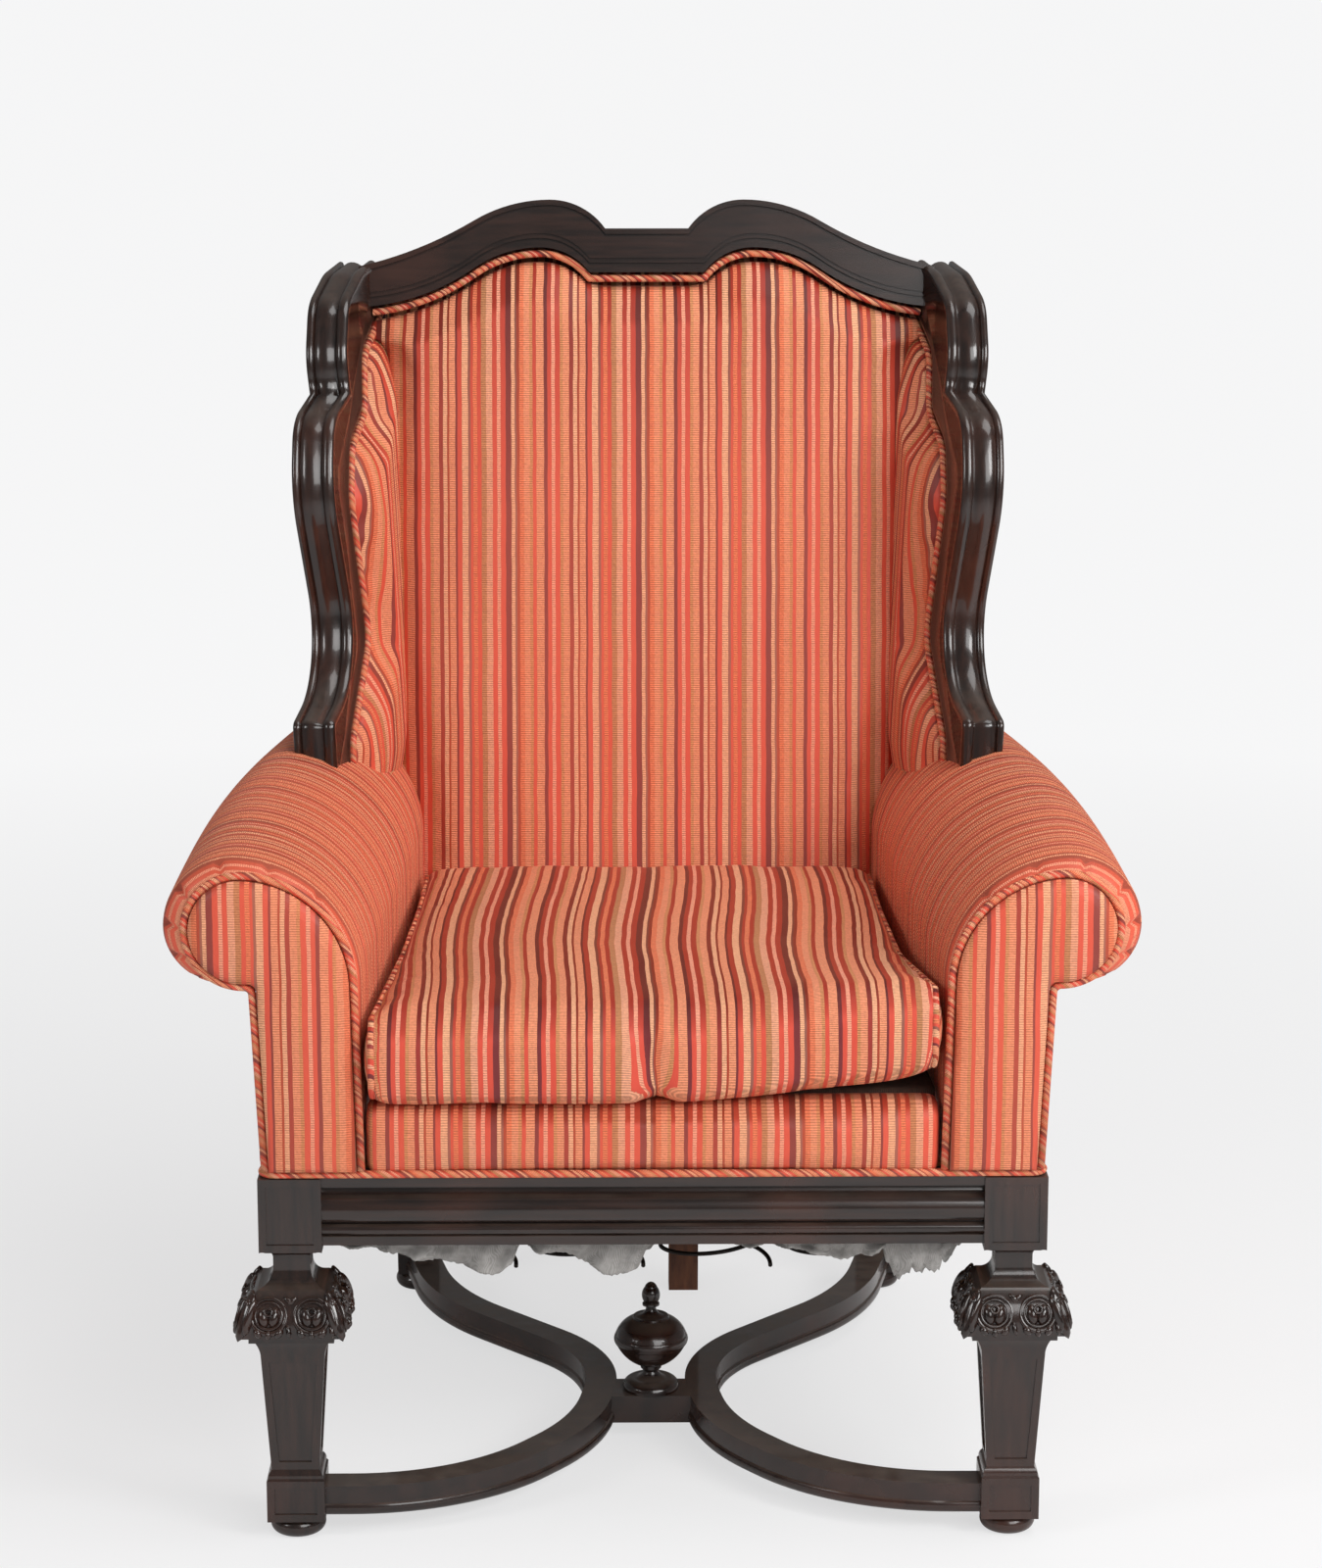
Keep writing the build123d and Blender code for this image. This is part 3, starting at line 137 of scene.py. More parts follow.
for name, spot, aim, size, power in (
    ("front_softbox", (1.75, -4.2, 2.5), (0, -0.1, 0.65), 2.2, 86),
    ("right_softbox", (2.1, -2.0, 2.0), (0, -0.1, 0.75), 1.1, 48),
    ("left_softbox", (-2.7, -1.9, 1.9), (0, -0.1, 0.7), 1.0, 28),
    ("top_softbox", (1.1, -0.4, 3.1), (0.1, 0, 0.6), 1.6, 34),
):
    lamp = bpy.data.lights.new(name, "AREA")
    lamp.size = size
    lamp.energy = power
    holder = bpy.data.objects.new(name, lamp)
    holder.location = spot
    holder.rotation_euler = (Vector(aim) - Vector(spot)).to_track_quat("-Z", "Y").to_euler()
    scene.collection.objects.link(holder)

view = bpy.data.cameras.new("front_view")
view.lens = 89.72
view.sensor_width = 36
camera = bpy.data.objects.new("front_view", view)
camera.location = (-0.030, -3.669, 1.4262)
camera.rotation_euler = (radians(90 - 12.441), 0, radians(-0.64))
scene.collection.objects.link(camera)
scene.camera = camera


# Show wood: hardwood stained black-brown and French polished, rubbed through
# to red on the flats, with the grain along each timber and upward faces paler and greyer in specks.
def ebonised(name, grain, top_pale_most, dullest=0.36):
    finish, shader = new_finish(name)
    place = paint(finish, "TexCoord").outputs["Object"]
    grained = paint(finish, "Mapping", {"Vector": place, "Scale": grain})
    fibres = paint(finish, "TexNoise", {"Vector": grained.outputs["Vector"], "Scale": 1.0, "Detail": 6.0})
    tone = paint(finish, "ValToRGB", {"Fac": fibres.outputs["Fac"]})
    tone.color_ramp.elements[0].position = 0.32
    tone.color_ramp.elements[0].color = screen_colour(24, 15, 12)
    tone.color_ramp.elements[1].position = 0.72
    tone.color_ramp.elements[1].color = screen_colour(46, 29, 23)
    patches = paint(finish, "TexNoise", {"Vector": place, "Scale": 7.0, "Detail": 3.0})
    rubbed = paint(finish, "MapRange", {"Value": patches.outputs["Fac"], "From Min": 0.5, "From Max": 0.75})
    rubbed.inputs["To Max"].default_value = 0.45
    reddened = paint(finish, "Mix", {"Factor": rubbed.outputs["Result"]}, data_type="RGBA")
    finish.node_tree.links.new(tone.outputs["Color"], reddened.inputs["A"])
    reddened.inputs["B"].default_value = screen_colour(80, 41, 27)
    # Faces turning upward are paled towards grey-brown and made rougher, in speckled patches.
    facing_up = paint(finish, "SeparateXYZ", {"Vector": paint(finish, "NewGeometry").outputs["Normal"]})
    top_pale_ramp = paint(finish, "MapRange", {"Value": facing_up.outputs["Z"], "From Min": 0.6, "From Max": 0.98})
    top_pale_ramp.inputs["To Max"].default_value = top_pale_most
    speckle = paint(finish, "TexNoise", {"Vector": place, "Scale": 45.0, "Detail": 5.0})
    top_pale_share = paint(
        finish, "Math", {0: top_pale_ramp.outputs["Result"], 1: speckle.outputs["Fac"]}, operation="MULTIPLY",
    )
    top_paled = paint(finish, "Mix", {"Factor": top_pale_share.outputs["Value"]}, data_type="RGBA")
    finish.node_tree.links.new(reddened.outputs["Result"], top_paled.inputs["A"])
    top_paled.inputs["B"].default_value = screen_colour(104, 90, 80)
    finish.node_tree.links.new(top_paled.outputs["Result"], shader.inputs["Base Color"])
    haze = paint(finish, "MapRange", {"Value": patches.outputs["Fac"], "To Min": 0.14, "To Max": dullest})
    dull = paint(finish, "Math", {0: top_pale_share.outputs["Value"], 1: haze.outputs["Result"]}, operation="ADD")
    finish.node_tree.links.new(dull.outputs["Value"], shader.inputs["Roughness"])
    pores = paint(finish, "Bump", {"Height": fibres.outputs["Fac"], "Strength": 0.12, "Distance": 0.0006})
    finish.node_tree.links.new(pores.outputs["Normal"], shader.inputs["Normal"])
    shader.inputs["Coat Weight"].default_value = 0.5
    shader.inputs["Coat Roughness"].default_value = 0.07
    shader.inputs["Specular IOR Level"].default_value = 0.4
    return finish


def finish_node(node, finish):
    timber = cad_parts[node]
    timber.data.materials.clear()
    timber.data.materials.append(finish)


SIDES = ("left", "right")
upright_wood = ebonised("ebonised_upright", (180, 180, 14), 0.5)
across_wood = ebonised("ebonised_across", (14, 180, 180), 0.5)
along_wood = ebonised("ebonised_along", (180, 14, 180), 0.5)
stretcher_wood = ebonised("ebonised_stretcher", (60, 60, 60), 0.8)
for side in SIDES:
    for timber in ("front_leg", "rear_post", "front_bun_foot", "rear_bun_foot"):
        finish_node(f"{timber}_{side}", upright_wood)
    finish_node(f"side_rail_{side}", along_wood)
    finish_node(f"stretcher_{side}", stretcher_wood)
for timber in ("front_rail", "rear_rail", "crest_rail"):
    finish_node(timber, across_wood)
for timber in ("stretcher_block", "finial"):
    finish_node(timber, stretcher_wood)


# Wing frames: one shaped board each, tenoned to the post, with a bead, a broad
# hollow and a second bead run round its edge and the inner face sunk between beads.
def cad_shape(node):
    shape = bmesh.new()
    shape.from_mesh(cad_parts[node].data)
    bmesh.ops.remove_doubles(shape, verts=shape.verts, dist=0.00002)
    return shape


def new_verts(result):
    return [made for made in result["geom"] if isinstance(made, bmesh.types.BMVert)]


EDGE_MOULDING = (
    (0.6, 1.2), (1.6, 2.1), (3.0, 2.5), (4.8, 2.2), (6.2, 1.4), (7.0, 0.4), (7.6, -0.7),
    (8.6, -0.2), (11.0, 1.1), (14.0, 1.7), (18.0, 1.4), (22.0, 0.3), (25.0, -1.1), (28.0, -2.8), (29.4, -3.1),
    (30.2, -1.6), (31.2, 0.4), (32.6, 1.7), (34.6, 2.4), (36.6, 2.4), (38.6, 1.7), (40.2, 0.6), (42.0, -0.8),
)
SHOW_RIM = 0.0035
SUNK_SLOPE = 0.0014
SUNK_DEPTH = 0.0016
for side, way in zip(SIDES, (1, -1)):
    wing = cad_shape(f"wing_frame_{side}")
    bmesh.ops.dissolve_limit(wing, angle_limit=radians(1), verts=wing.verts, edges=wing.edges)
    outside = max((f for f in wing.faces if f.normal.x * way < -0.8), key=lambda f: f.calc_area())
    bmesh.ops.delete(wing, geom=[f for f in wing.faces if f is not outside], context="FACES")
    out = outside.normal.copy()
    corners = [loop.vert for loop in outside.loops]
    runs = [(b.co - a.co).normalized() for a, b in zip(corners, corners[1:] + corners[:1])]
    base = {}
    for index, corner in enumerate(corners):
        before, after = runs[index - 1].cross(out), runs[index].cross(out)
        base[tuple(corner.co)] = (corner.co.copy(), (before + after) / (1 + before.dot(after)))
    rim = list(outside.edges)
    for depth, proud in EDGE_MOULDING:
        ring = new_verts(bmesh.ops.extrude_edge_only(wing, edges=rim))
        moved = {}
        for vert in ring:
            start, side_way = base[tuple(vert.co)]
            vert.co = start - out * (depth / 1000) + side_way * (proud / 1000)
            moved[tuple(vert.co)] = (start, side_way)
        base = moved
        ring = set(ring)
        rim = [edge for edge in wing.edges if edge.verts[0] in ring and edge.verts[1] in ring]
    show_face = bmesh.ops.contextual_create(wing, geom=rim)["faces"]
    for wide, rise in ((SHOW_RIM, 0), (SUNK_SLOPE, -SUNK_DEPTH)):
        bmesh.ops.inset_region(wing, faces=show_face, thickness=wide, depth=rise, use_even_offset=True)
    bmesh.ops.recalc_face_normals(wing, faces=wing.faces)
    board = piece(f"moulded_wing_{side}", wing)
    board.data.set_sharp_from_angle(angle=radians(40))
    board.data.materials.append(upright_wood)
    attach(board, "frame")
    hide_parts(f"wing_frame_{side}")

# Crest mouldings: a bead worked along each edge of the crest's front and a finer
# one beside the lower bead, all in the crest's own timber.
crest = cad_shape("crest_rail")
bmesh.ops.dissolve_limit(crest, angle_limit=radians(1), verts=crest.verts, edges=crest.edges)
fronts = [face for face in crest.faces if face.normal.y < -0.9]
foremost = max(face.normal.dot(face.calc_center_median()) for face in fronts)
fronts = [face for face in fronts if face.normal.dot(face.calc_center_median()) > foremost - 0.0005]
bands = sorted(fronts, key=lambda face: face.calc_area())[:-1]
bmesh.ops.delete(crest, geom=[face for face in crest.faces if face not in bands], context="FACES")
bmesh.ops.duplicate(crest, geom=bands)
for band in bands:
    wide = 2 * band.calc_area() / band.calc_perimeter()
    for inward, upward in ((0.10, 0.18), (0.14, 0.12), (0.12, 0.04)):
        bmesh.ops.inset_region(
            crest, faces=[band], thickness=wide * inward, depth=wide * upward, use_even_offset=True,
        )
bmesh.ops.remove_doubles(crest, verts=crest.verts, dist=0.00001)
bmesh.ops.recalc_face_normals(crest, faces=crest.faces)
bead = piece("crest_moulding", crest)
bead.data.set_sharp_from_angle(angle=radians(60))
bead.data.materials.append(across_wood)
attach(bead, "frame")

# Carved capitals: two round flowers on each face of the square ovolo, each a
# split dome in rings with drops below it, and a leaf down every corner.
flower = bmesh.new()
for ring_radius, wire, height in ((15.6, 2.3, 0.6), (12.0, 1.5, 1.6), (3.4, 1.1, 6.6)):
    centre_up = 3.0 if ring_radius < 5 else 0.0
    section = bmesh.ops.create_circle(
        flower, segments=8, radius=wire,
        matrix=Matrix.Translation((ring_radius, centre_up, height)) @ Matrix.Rotation(pi / 2, 4, "X"),
    )["verts"]
    edges = list({edge for vert in section for edge in vert.link_edges})
    bmesh.ops.spin(
        flower, geom=section + edges, cent=(0, centre_up, height), axis=(0, 0, 1),
        angle=2 * pi, steps=26, use_merge=True,
    )
for x, y, wide, tall, satin_shade, lean in (
    (-4.7, -0.8, 5.6, 10.0, 6.6, 0.18), (4.7, -0.8, 5.6, 10.0, 6.6, -0.18),
    (-9.5, -15.0, 3.6, 5.0, 4.2, 0.6), (0.0, -16.5, 3.0, 4.6, 4.4, 0.0), (9.5, -15.0, 3.6, 5.0, 4.2, -0.6),
    (-17.6, 13.5, 2.8, 6.0, 3.0, -0.9), (17.6, 13.5, 2.8, 6.0, 3.0, 0.9),
    (17.8, -13.0, 2.4, 6.4, 3.6, 0.2),
):
    stand = Matrix.Translation((x, y, 0)) @ Matrix.Rotation(lean, 4, "Z")
    shaped = stand @ Matrix.Diagonal((wide, tall, satin_shade, 1))
    bmesh.ops.create_uvsphere(flower, u_segments=12, v_segments=8, radius=1.0, matrix=shaped)
leaf = bmesh.new()
for slide, reach, wide, thick in ((0.0, 24.0, 7.0, 5.0), (-6.0, 17.0, 3.0, 6.2), (6.0, 17.0, 3.0, 6.2)):
    bmesh.ops.create_uvsphere(
        leaf, u_segments=12, v_segments=10, radius=1.0,
        matrix=Matrix.Translation((slide, 0, -1)) @ Matrix.Diagonal((wide, reach, thick, 1)),
    )
patterns = []
for shape in (flower, leaf):
    bmesh.ops.recalc_face_normals(shape, faces=shape.faces)
    bmesh.ops.scale(shape, vec=(0.001, 0.001, 0.001), verts=shape.verts)
    patterns.append(bpy.data.meshes.new("carving_pattern"))
    shape.to_mesh(patterns[-1])
    shape.free()
carved_wood = ebonised("ebonised_carving", (90, 90, 90), 0.3, 0.18)
CAPITAL_HEIGHT = 0.2190
CAPITAL_REACH = 0.0418
FLOWER_SPREAD = 0.0192
TILT = radians(25)
for side in SIDES:
    low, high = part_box(f"front_leg_{side}")
    middle = (low + high) / 2
    carving = bmesh.new()
    for turn in range(4):
        round_leg = Matrix.Rotation(turn * pi / 2, 4, "Z")
        placed = Matrix.Translation((middle.x, middle.y, CAPITAL_HEIGHT)) @ round_leg
        for pattern, slide, reach, twist in (
            (patterns[0], -FLOWER_SPREAD, CAPITAL_REACH, 0), (patterns[0], FLOWER_SPREAD, CAPITAL_REACH, 0),
            (patterns[1], 0, CAPITAL_REACH * 1.36, pi / 4),
        ):
            count = len(carving.verts)
            carving.from_mesh(pattern)
            carving.verts.ensure_lookup_table()
            upright = Matrix.Rotation(pi / 2 - TILT, 4, "X")
            stand = placed @ Matrix.Rotation(twist, 4, "Z") @ Matrix.Translation((slide, -reach, 0)) @ upright
            bmesh.ops.transform(carving, matrix=stand, verts=carving.verts[count:])
    capital = piece(f"capital_carving_{side}", carving)
    capital.data.materials.append(carved_wood)
    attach(capital, "frame")


# Hidden frame: raw beech rails, stumps, braces and dowels under the stuffing,
# the plain brown centre leg behind, and steel screws.
def plain_timber(name, dark, light, grain):
    finish, shader = new_finish(name)
    place = paint(finish, "TexCoord").outputs["Object"]
    grained = paint(finish, "Mapping", {"Vector": place, "Scale": grain})
    fibres = paint(finish, "TexNoise", {"Vector": grained.outputs["Vector"], "Scale": 1.0, "Detail": 7.0})
    tone = paint(finish, "ValToRGB", {"Fac": fibres.outputs["Fac"]})
    tone.color_ramp.elements[0].position = 0.3
    tone.color_ramp.elements[0].color = screen_colour(*dark)
    tone.color_ramp.elements[1].position = 0.7
    tone.color_ramp.elements[1].color = screen_colour(*light)
    finish.node_tree.links.new(tone.outputs["Color"], shader.inputs["Base Color"])
    pores = paint(finish, "Bump", {"Height": fibres.outputs["Fac"], "Strength": 0.3, "Distance": 0.0006})
    finish.node_tree.links.new(pores.outputs["Normal"], shader.inputs["Normal"])
    shader.inputs["Roughness"].default_value = 0.62
    return finish


beech = plain_timber("raw_beech", (150, 112, 74), (196, 160, 116), (30, 30, 90))
brown_timber = plain_timber("brown_leg", (70, 40, 26), (112, 68, 44), (160, 160, 16))
for timber in ("lower_back_rail", "corner_braces", "stretcher_dowels"):
    finish_node(timber, beech)
for side in SIDES:
    for timber in ("arm_stump", "arm_rail", "arm_tacking_rail"):
        finish_node(f"{timber}_{side}", beech)
finish_node("rear_centre_leg", brown_timber)


def drawn_metal(name, dark, light, shine):
    finish, shader = new_finish(name)
    place = paint(finish, "TexCoord").outputs["Object"]
    marks = paint(finish, "TexNoise", {"Vector": place, "Scale": 240.0, "Detail": 4.0})
    tone = paint(finish, "ValToRGB", {"Fac": marks.outputs["Fac"]})
    tone.color_ramp.elements[0].color = screen_colour(*dark)
    tone.color_ramp.elements[1].color = screen_colour(*light)
    finish.node_tree.links.new(tone.outputs["Color"], shader.inputs["Base Color"])
    shader.inputs["Metallic"].default_value = 0.8
    shader.inputs["Roughness"].default_value = shine
    return finish


finish_node("seat_springs", drawn_metal("lacquered_wire", (14, 13, 13), (46, 40, 36), 0.45))
finish_node("brace_screws", drawn_metal("screw_steel", (96, 94, 92), (170, 168, 166), 0.35))


# Sprung seat: coarse jute hessian laced over the springs, with a thin
# stuffed deck pad in plain cotton on it, coloured dark as painted shade, both hidden under the loose cushion.
def open_weave(name, dark, light, pitch):
    finish, shader = new_finish(name)
    place = paint(finish, "SeparateXYZ", {"Vector": paint(finish, "TexCoord").outputs["Object"]})
    threads = []
    for axis in ("X", "Y"):
        turns = paint(finish, "Math", {0: place.outputs[axis], 1: 2 * pi / pitch}, operation="MULTIPLY")
        threads.append(paint(finish, "Math", {0: turns.outputs["Value"]}, operation="SINE").outputs["Value"])
    crossing = paint(finish, "Math", {0: threads[0], 1: threads[1]}, operation="MULTIPLY")
    slub = paint(finish, "TexNoise", {"Scale": 160.0, "Detail": 3.0})
    finish.node_tree.links.new(paint(finish, "TexCoord").outputs["Object"], slub.inputs["Vector"])
    mixed = paint(finish, "Math", {0: crossing.outputs["Value"], 1: 0.35, 2: slub.outputs["Fac"]})
    mixed.operation = "MULTIPLY_ADD"
    tone = paint(finish, "ValToRGB", {"Fac": mixed.outputs["Value"]})
    tone.color_ramp.elements[0].position = 0.2
    tone.color_ramp.elements[0].color = screen_colour(*dark)
    tone.color_ramp.elements[1].position = 0.8
    tone.color_ramp.elements[1].color = screen_colour(*light)
    finish.node_tree.links.new(tone.outputs["Color"], shader.inputs["Base Color"])
    weave = paint(finish, "Bump", {"Height": mixed.outputs["Value"], "Strength": 0.5, "Distance": 0.0008})
    finish.node_tree.links.new(weave.outputs["Normal"], shader.inputs["Normal"])
    shader.inputs["Roughness"].default_value = 0.9
    return finish


def covered_panel(node, name, outward, rim, rise):
    panel = cad_shape(node)
    bmesh.ops.dissolve_limit(panel, angle_limit=radians(1), verts=panel.verts, edges=panel.edges)
    shown = [face for face in panel.faces if face.normal.dot(Vector(outward)) > 0.9]
    for share in (0.55, 0.3, 0.15):
        bmesh.ops.inset_region(panel, faces=shown, thickness=rim * share, depth=rise * share)
    bmesh.ops.triangulate(panel, faces=panel.faces)
    made = piece(name, panel)
    made.data.set_sharp_from_angle(angle=radians(60))
    return made


hessian = covered_panel("spring_hessian", "laced_hessian", (0, 0, -1), 0.004, 0.0)
hessian.data.materials.append(open_weave("jute_hessian", (96, 70, 40), (168, 132, 84), 0.0045))
low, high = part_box("spring_hessian")
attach(hessian, "seat_deck")
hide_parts("spring_hessian")

deck = covered_panel("seat_deck_pad", "cotton_deck", (0, 0, 1), 0.03, 0.0)
# The deck cotton is coloured dark brown as painted shade, as it looks in shadow under the cushion.
deck.data.materials.append(open_weave("deck_cotton_painted_shade", (58, 42, 34), (88, 66, 54), 0.0016))
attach(deck, "seat_deck")
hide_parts("seat_deck_pad")

# Covers: one woven stripe for the whole chair, satin reds between ribbed
# chenille creams and tans, repeating about every 130 mm; the fixed covers are faded.
RED, MAROON, PURPLE, RUST = (212, 76, 58), (150, 48, 42), (112, 40, 44), (166, 60, 38)
CREAM, PINK, PALE, ORANGE = (228, 166, 128), (230, 152, 124), (224, 142, 106), (220, 118, 82)
TAN, OLIVE, GREY, BEIGE = (200, 134, 90), (182, 124, 84), (142, 88, 74), (222, 156, 124)
STRIPES = (
    (4.9, RED, 0), (2.9, TAN, 1), (6.1, PALE, 1), (4.1, MAROON, 0), (4.5, CREAM, 1), (2.0, RUST, 0),
    (6.1, PALE, 1), (2.0, PURPLE, 0), (4.9, RED, 0), (6.1, CREAM, 1), (2.5, GREY, 0), (2.5, RED, 0),
    (4.1, ORANGE, 1), (4.1, RED, 0), (4.9, OLIVE, 1), (6.5, BEIGE, 1), (4.5, RED, 0), (3.7, PINK, 1),
    (4.9, RED, 0), (5.7, PURPLE, 0), (3.7, CREAM, 1), (2.0, GREY, 0), (2.9, RUST, 0), (4.4, ORANGE, 1),
    (5.6, PALE, 1), (3.0, TAN, 1), (3.7, RED, 0), (7.7, PALE, 1),
    (3.4, PURPLE, 0), (4.5, RED, 0), (3.7, PINK, 1),
)
REPEAT = sum(width for width, colour, ribbed in STRIPES) / 1000
RUNG_PITCH = 0.0022

# Painted shade under the crest: towards the top of the back the stripes are darker and bleached less (heights
# in m).
CREST_SHADE_FROM = 0.84
CREST_SHADE_FULL = 1.05


def striped_cloth(name, faded, shift):
    finish, shader = new_finish(name)
    place = paint(finish, "TexCoord").outputs["Object"]
    across = paint(finish, "Attribute", attribute_name="across").outputs["Fac"]
    along = paint(finish, "Attribute", attribute_name="along").outputs["Fac"]
    drift = paint(finish, "TexNoise", {"Vector": place, "Scale": 22.0, "Detail": 2.0})
    wander = paint(finish, "Math", {0: drift.outputs["Fac"], 1: 0.0022, 2: across}, operation="MULTIPLY_ADD")
    repeats = paint(
        finish, "Math", {0: wander.outputs["Value"], 1: 1 / REPEAT, 2: shift}, operation="MULTIPLY_ADD",
    )
    share = paint(finish, "Math", {0: repeats.outputs["Value"]}, operation="FRACT")
    colours = paint(finish, "ValToRGB", {"Fac": share.outputs["Value"]})
    ribs = paint(finish, "ValToRGB", {"Fac": share.outputs["Value"]})
    for ramp in (colours.color_ramp, ribs.color_ramp):
        ramp.interpolation = "CONSTANT"
    start = 0.0
    for index, (width, colour, ribbed) in enumerate(STRIPES):
        grey = (ribbed, ribbed, ribbed, 1)
        for ramp, value in ((colours.color_ramp, screen_colour(*colour)), (ribs.color_ramp, grey)):
            stop = ramp.elements[index] if index < 2 else ramp.elements.new(start)
            stop.position = start
            stop.color = value
        start += width / 1000 / REPEAT
    rung_turns = paint(finish, "Math", {0: along, 1: 2 * pi / RUNG_PITCH}, operation="MULTIPLY")
    rungs = paint(finish, "Math", {0: rung_turns.outputs["Value"]}, operation="SINE")
    slub = paint(finish, "TexNoise", {"Vector": place, "Scale": 420.0, "Detail": 2.0})
    fuzzy = paint(finish, "Math", {0: slub.outputs["Fac"], 1: 2.2, 2: -1.1}, operation="MULTIPLY_ADD")
    rung_height = paint(
        finish, "Math", {0: rungs.outputs["Value"], 1: fuzzy.outputs["Value"]}, operation="ADD",
    )
    ribbed_height = paint(finish, "Math", {0: rung_height.outputs["Value"], 1: ribs.outputs["Color"]})
    ribbed_height.operation = "MULTIPLY"
    # Painted shade and highlight along the chenille rungs: the colour is darkened between rungs and lightened
    # on them.
    shade = paint(finish, "MapRange", {"Value": ribbed_height.outputs["Value"]})
    shade.inputs["From Min"].default_value = -1.6
    shade.inputs["From Max"].default_value = 1.6
    shade.inputs["To Min"].default_value = 0.52
    shade.inputs["To Max"].default_value = 1.34
    # Painted shade: the satin stripes are darkened towards the tint below where the cloth faces upward.
    upward = paint(finish, "SeparateXYZ", {"Vector": paint(finish, "NewGeometry").outputs["Normal"]})
    top_painted_shade = paint(finish, "MapRange", {"Value": upward.outputs["Z"], "From Min": 0.25, "From Max": 0.9})
    # Painted shade under the crest, growing with height between the two heights above.
    height = paint(finish, "SeparateXYZ", {"Vector": place})
    crest_shade = paint(finish, "MapRange", {"Value": height.outputs["Z"]})
    crest_shade.inputs["From Min"].default_value = CREST_SHADE_FROM
    crest_shade.inputs["From Max"].default_value = CREST_SHADE_FULL
    # The painted shade on the satin stripes adds the upward-facing share to the shade under the crest.
    shade_amount = paint(finish, "Math", {0: crest_shade.outputs["Result"], 1: 0.65, 2: top_painted_shade.outputs["Result"]})
    shade_amount.operation = "MULTIPLY_ADD"
    satin = paint(finish, "Math", {0: 1.0, 1: ribs.outputs["Color"]}, operation="SUBTRACT")
    satin_shade = paint(finish, "Math", {0: shade_amount.outputs["Value"], 1: satin.outputs["Value"]}, operation="MULTIPLY")
    shaded_satin = paint(
        finish, "Mix", {"Factor": satin_shade.outputs["Value"]}, data_type="RGBA", blend_type="MULTIPLY",
    )
    finish.node_tree.links.new(colours.outputs["Color"], shaded_satin.inputs["A"])
    shaded_satin.inputs["B"].default_value = (0.5, 0.36, 0.33, 1)
    toned = paint(finish, "Mix", {"Factor": 1.0}, data_type="RGBA", blend_type="MULTIPLY")
    finish.node_tree.links.new(shaded_satin.outputs["Result"], toned.inputs["A"])
    finish.node_tree.links.new(shade.outputs["Result"], toned.inputs["B"])
    cloud = paint(finish, "TexNoise", {"Vector": place, "Scale": 5.0, "Detail": 3.0})
    sun = paint(finish, "MapRange", {"Value": cloud.outputs["Fac"], "From Min": 0.3, "From Max": 0.7})
    sun.inputs["To Min"].default_value = faded * 0.6
    sun.inputs["To Max"].default_value = faded * 1.25
    # Under the crest's painted shade the bleaching is eased.
    outside_crest_shade = paint(finish, "Math", {0: crest_shade.outputs["Result"], 1: -0.8, 2: 1.0}, operation="MULTIPLY_ADD")
    bleach = paint(finish, "Math", {0: sun.outputs["Result"], 1: outside_crest_shade.outputs["Value"]})
    bleach.operation = "MULTIPLY"
    bleached = paint(finish, "Mix", {"Factor": bleach.outputs["Value"]}, data_type="RGBA")
    finish.node_tree.links.new(toned.outputs["Result"], bleached.inputs["A"])
    bleached.inputs["B"].default_value = screen_colour(226, 112, 80)
    finish.node_tree.links.new(bleached.outputs["Result"], shader.inputs["Base Color"])
    twill = paint(finish, "TexNoise", {"Vector": place, "Scale": 900.0, "Detail": 1.0})
    raised = paint(finish, "Math", {0: twill.outputs["Fac"], 1: 0.5, 2: ribbed_height.outputs["Value"]})
    raised.operation = "MULTIPLY_ADD"
    weave = paint(finish, "Bump", {"Height": raised.outputs["Value"], "Strength": 0.45, "Distance": 0.0007})
    finish.node_tree.links.new(weave.outputs["Normal"], shader.inputs["Normal"])
    gloss = paint(finish, "MapRange", {"Value": ribs.outputs["Color"], "To Min": 0.46, "To Max": 0.92})
    finish.node_tree.links.new(gloss.outputs["Result"], shader.inputs["Roughness"])
    shader.inputs["Sheen Weight"].default_value = 0.12
    shader.inputs["Sheen Roughness"].default_value = 0.5
    shader.inputs["Sheen Tint"].default_value = screen_colour(240, 150, 120)
    shader.inputs["Specular IOR Level"].default_value = 0.3
    return finish


def lay_stripes(cover, across, along=None):
    for name, rule in (("across", across), ("along", along)):
        if rule:
            band = cover.data.attributes.new(name, "FLOAT", "POINT")
            band.data.foreach_set("value", [rule(vert.co) for vert in cover.data.vertices])


faded_cloth = striped_cloth("faded_stripe", 0.2, 0.70)
cushion_stripe = striped_cloth("cushion_stripe", 0.03, 0.677)


# Back pad: horsehair stuffing under the stripe, pulled down to a piped line
# below the crest and swelling forward between the wings.
def remeshed(shape, name, grain):
    rough = piece(name, shape)
    voxels = rough.modifiers.new("even_mesh", "REMESH")
    voxels.mode = "VOXEL"
    voxels.voxel_size = grain
    even = bpy.data.meshes.new_from_object(rough.evaluated_get(bpy.context.evaluated_depsgraph_get()))
    rough.modifiers.clear()
    rough.data = even
    return rough


def smoothed(cover, rounds, share=0.5):
    shape = bmesh.new()
    shape.from_mesh(cover.data)
    for turn in range(rounds):
        bmesh.ops.smooth_vert(
            shape, verts=shape.verts, factor=share, use_axis_x=True, use_axis_y=True, use_axis_z=True
        )
    shape.to_mesh(cover.data)
    shape.free()
    cover.data.shade_smooth()


STUFFING_PRESSURE = 4.0
STUFFING_STEPS = 20


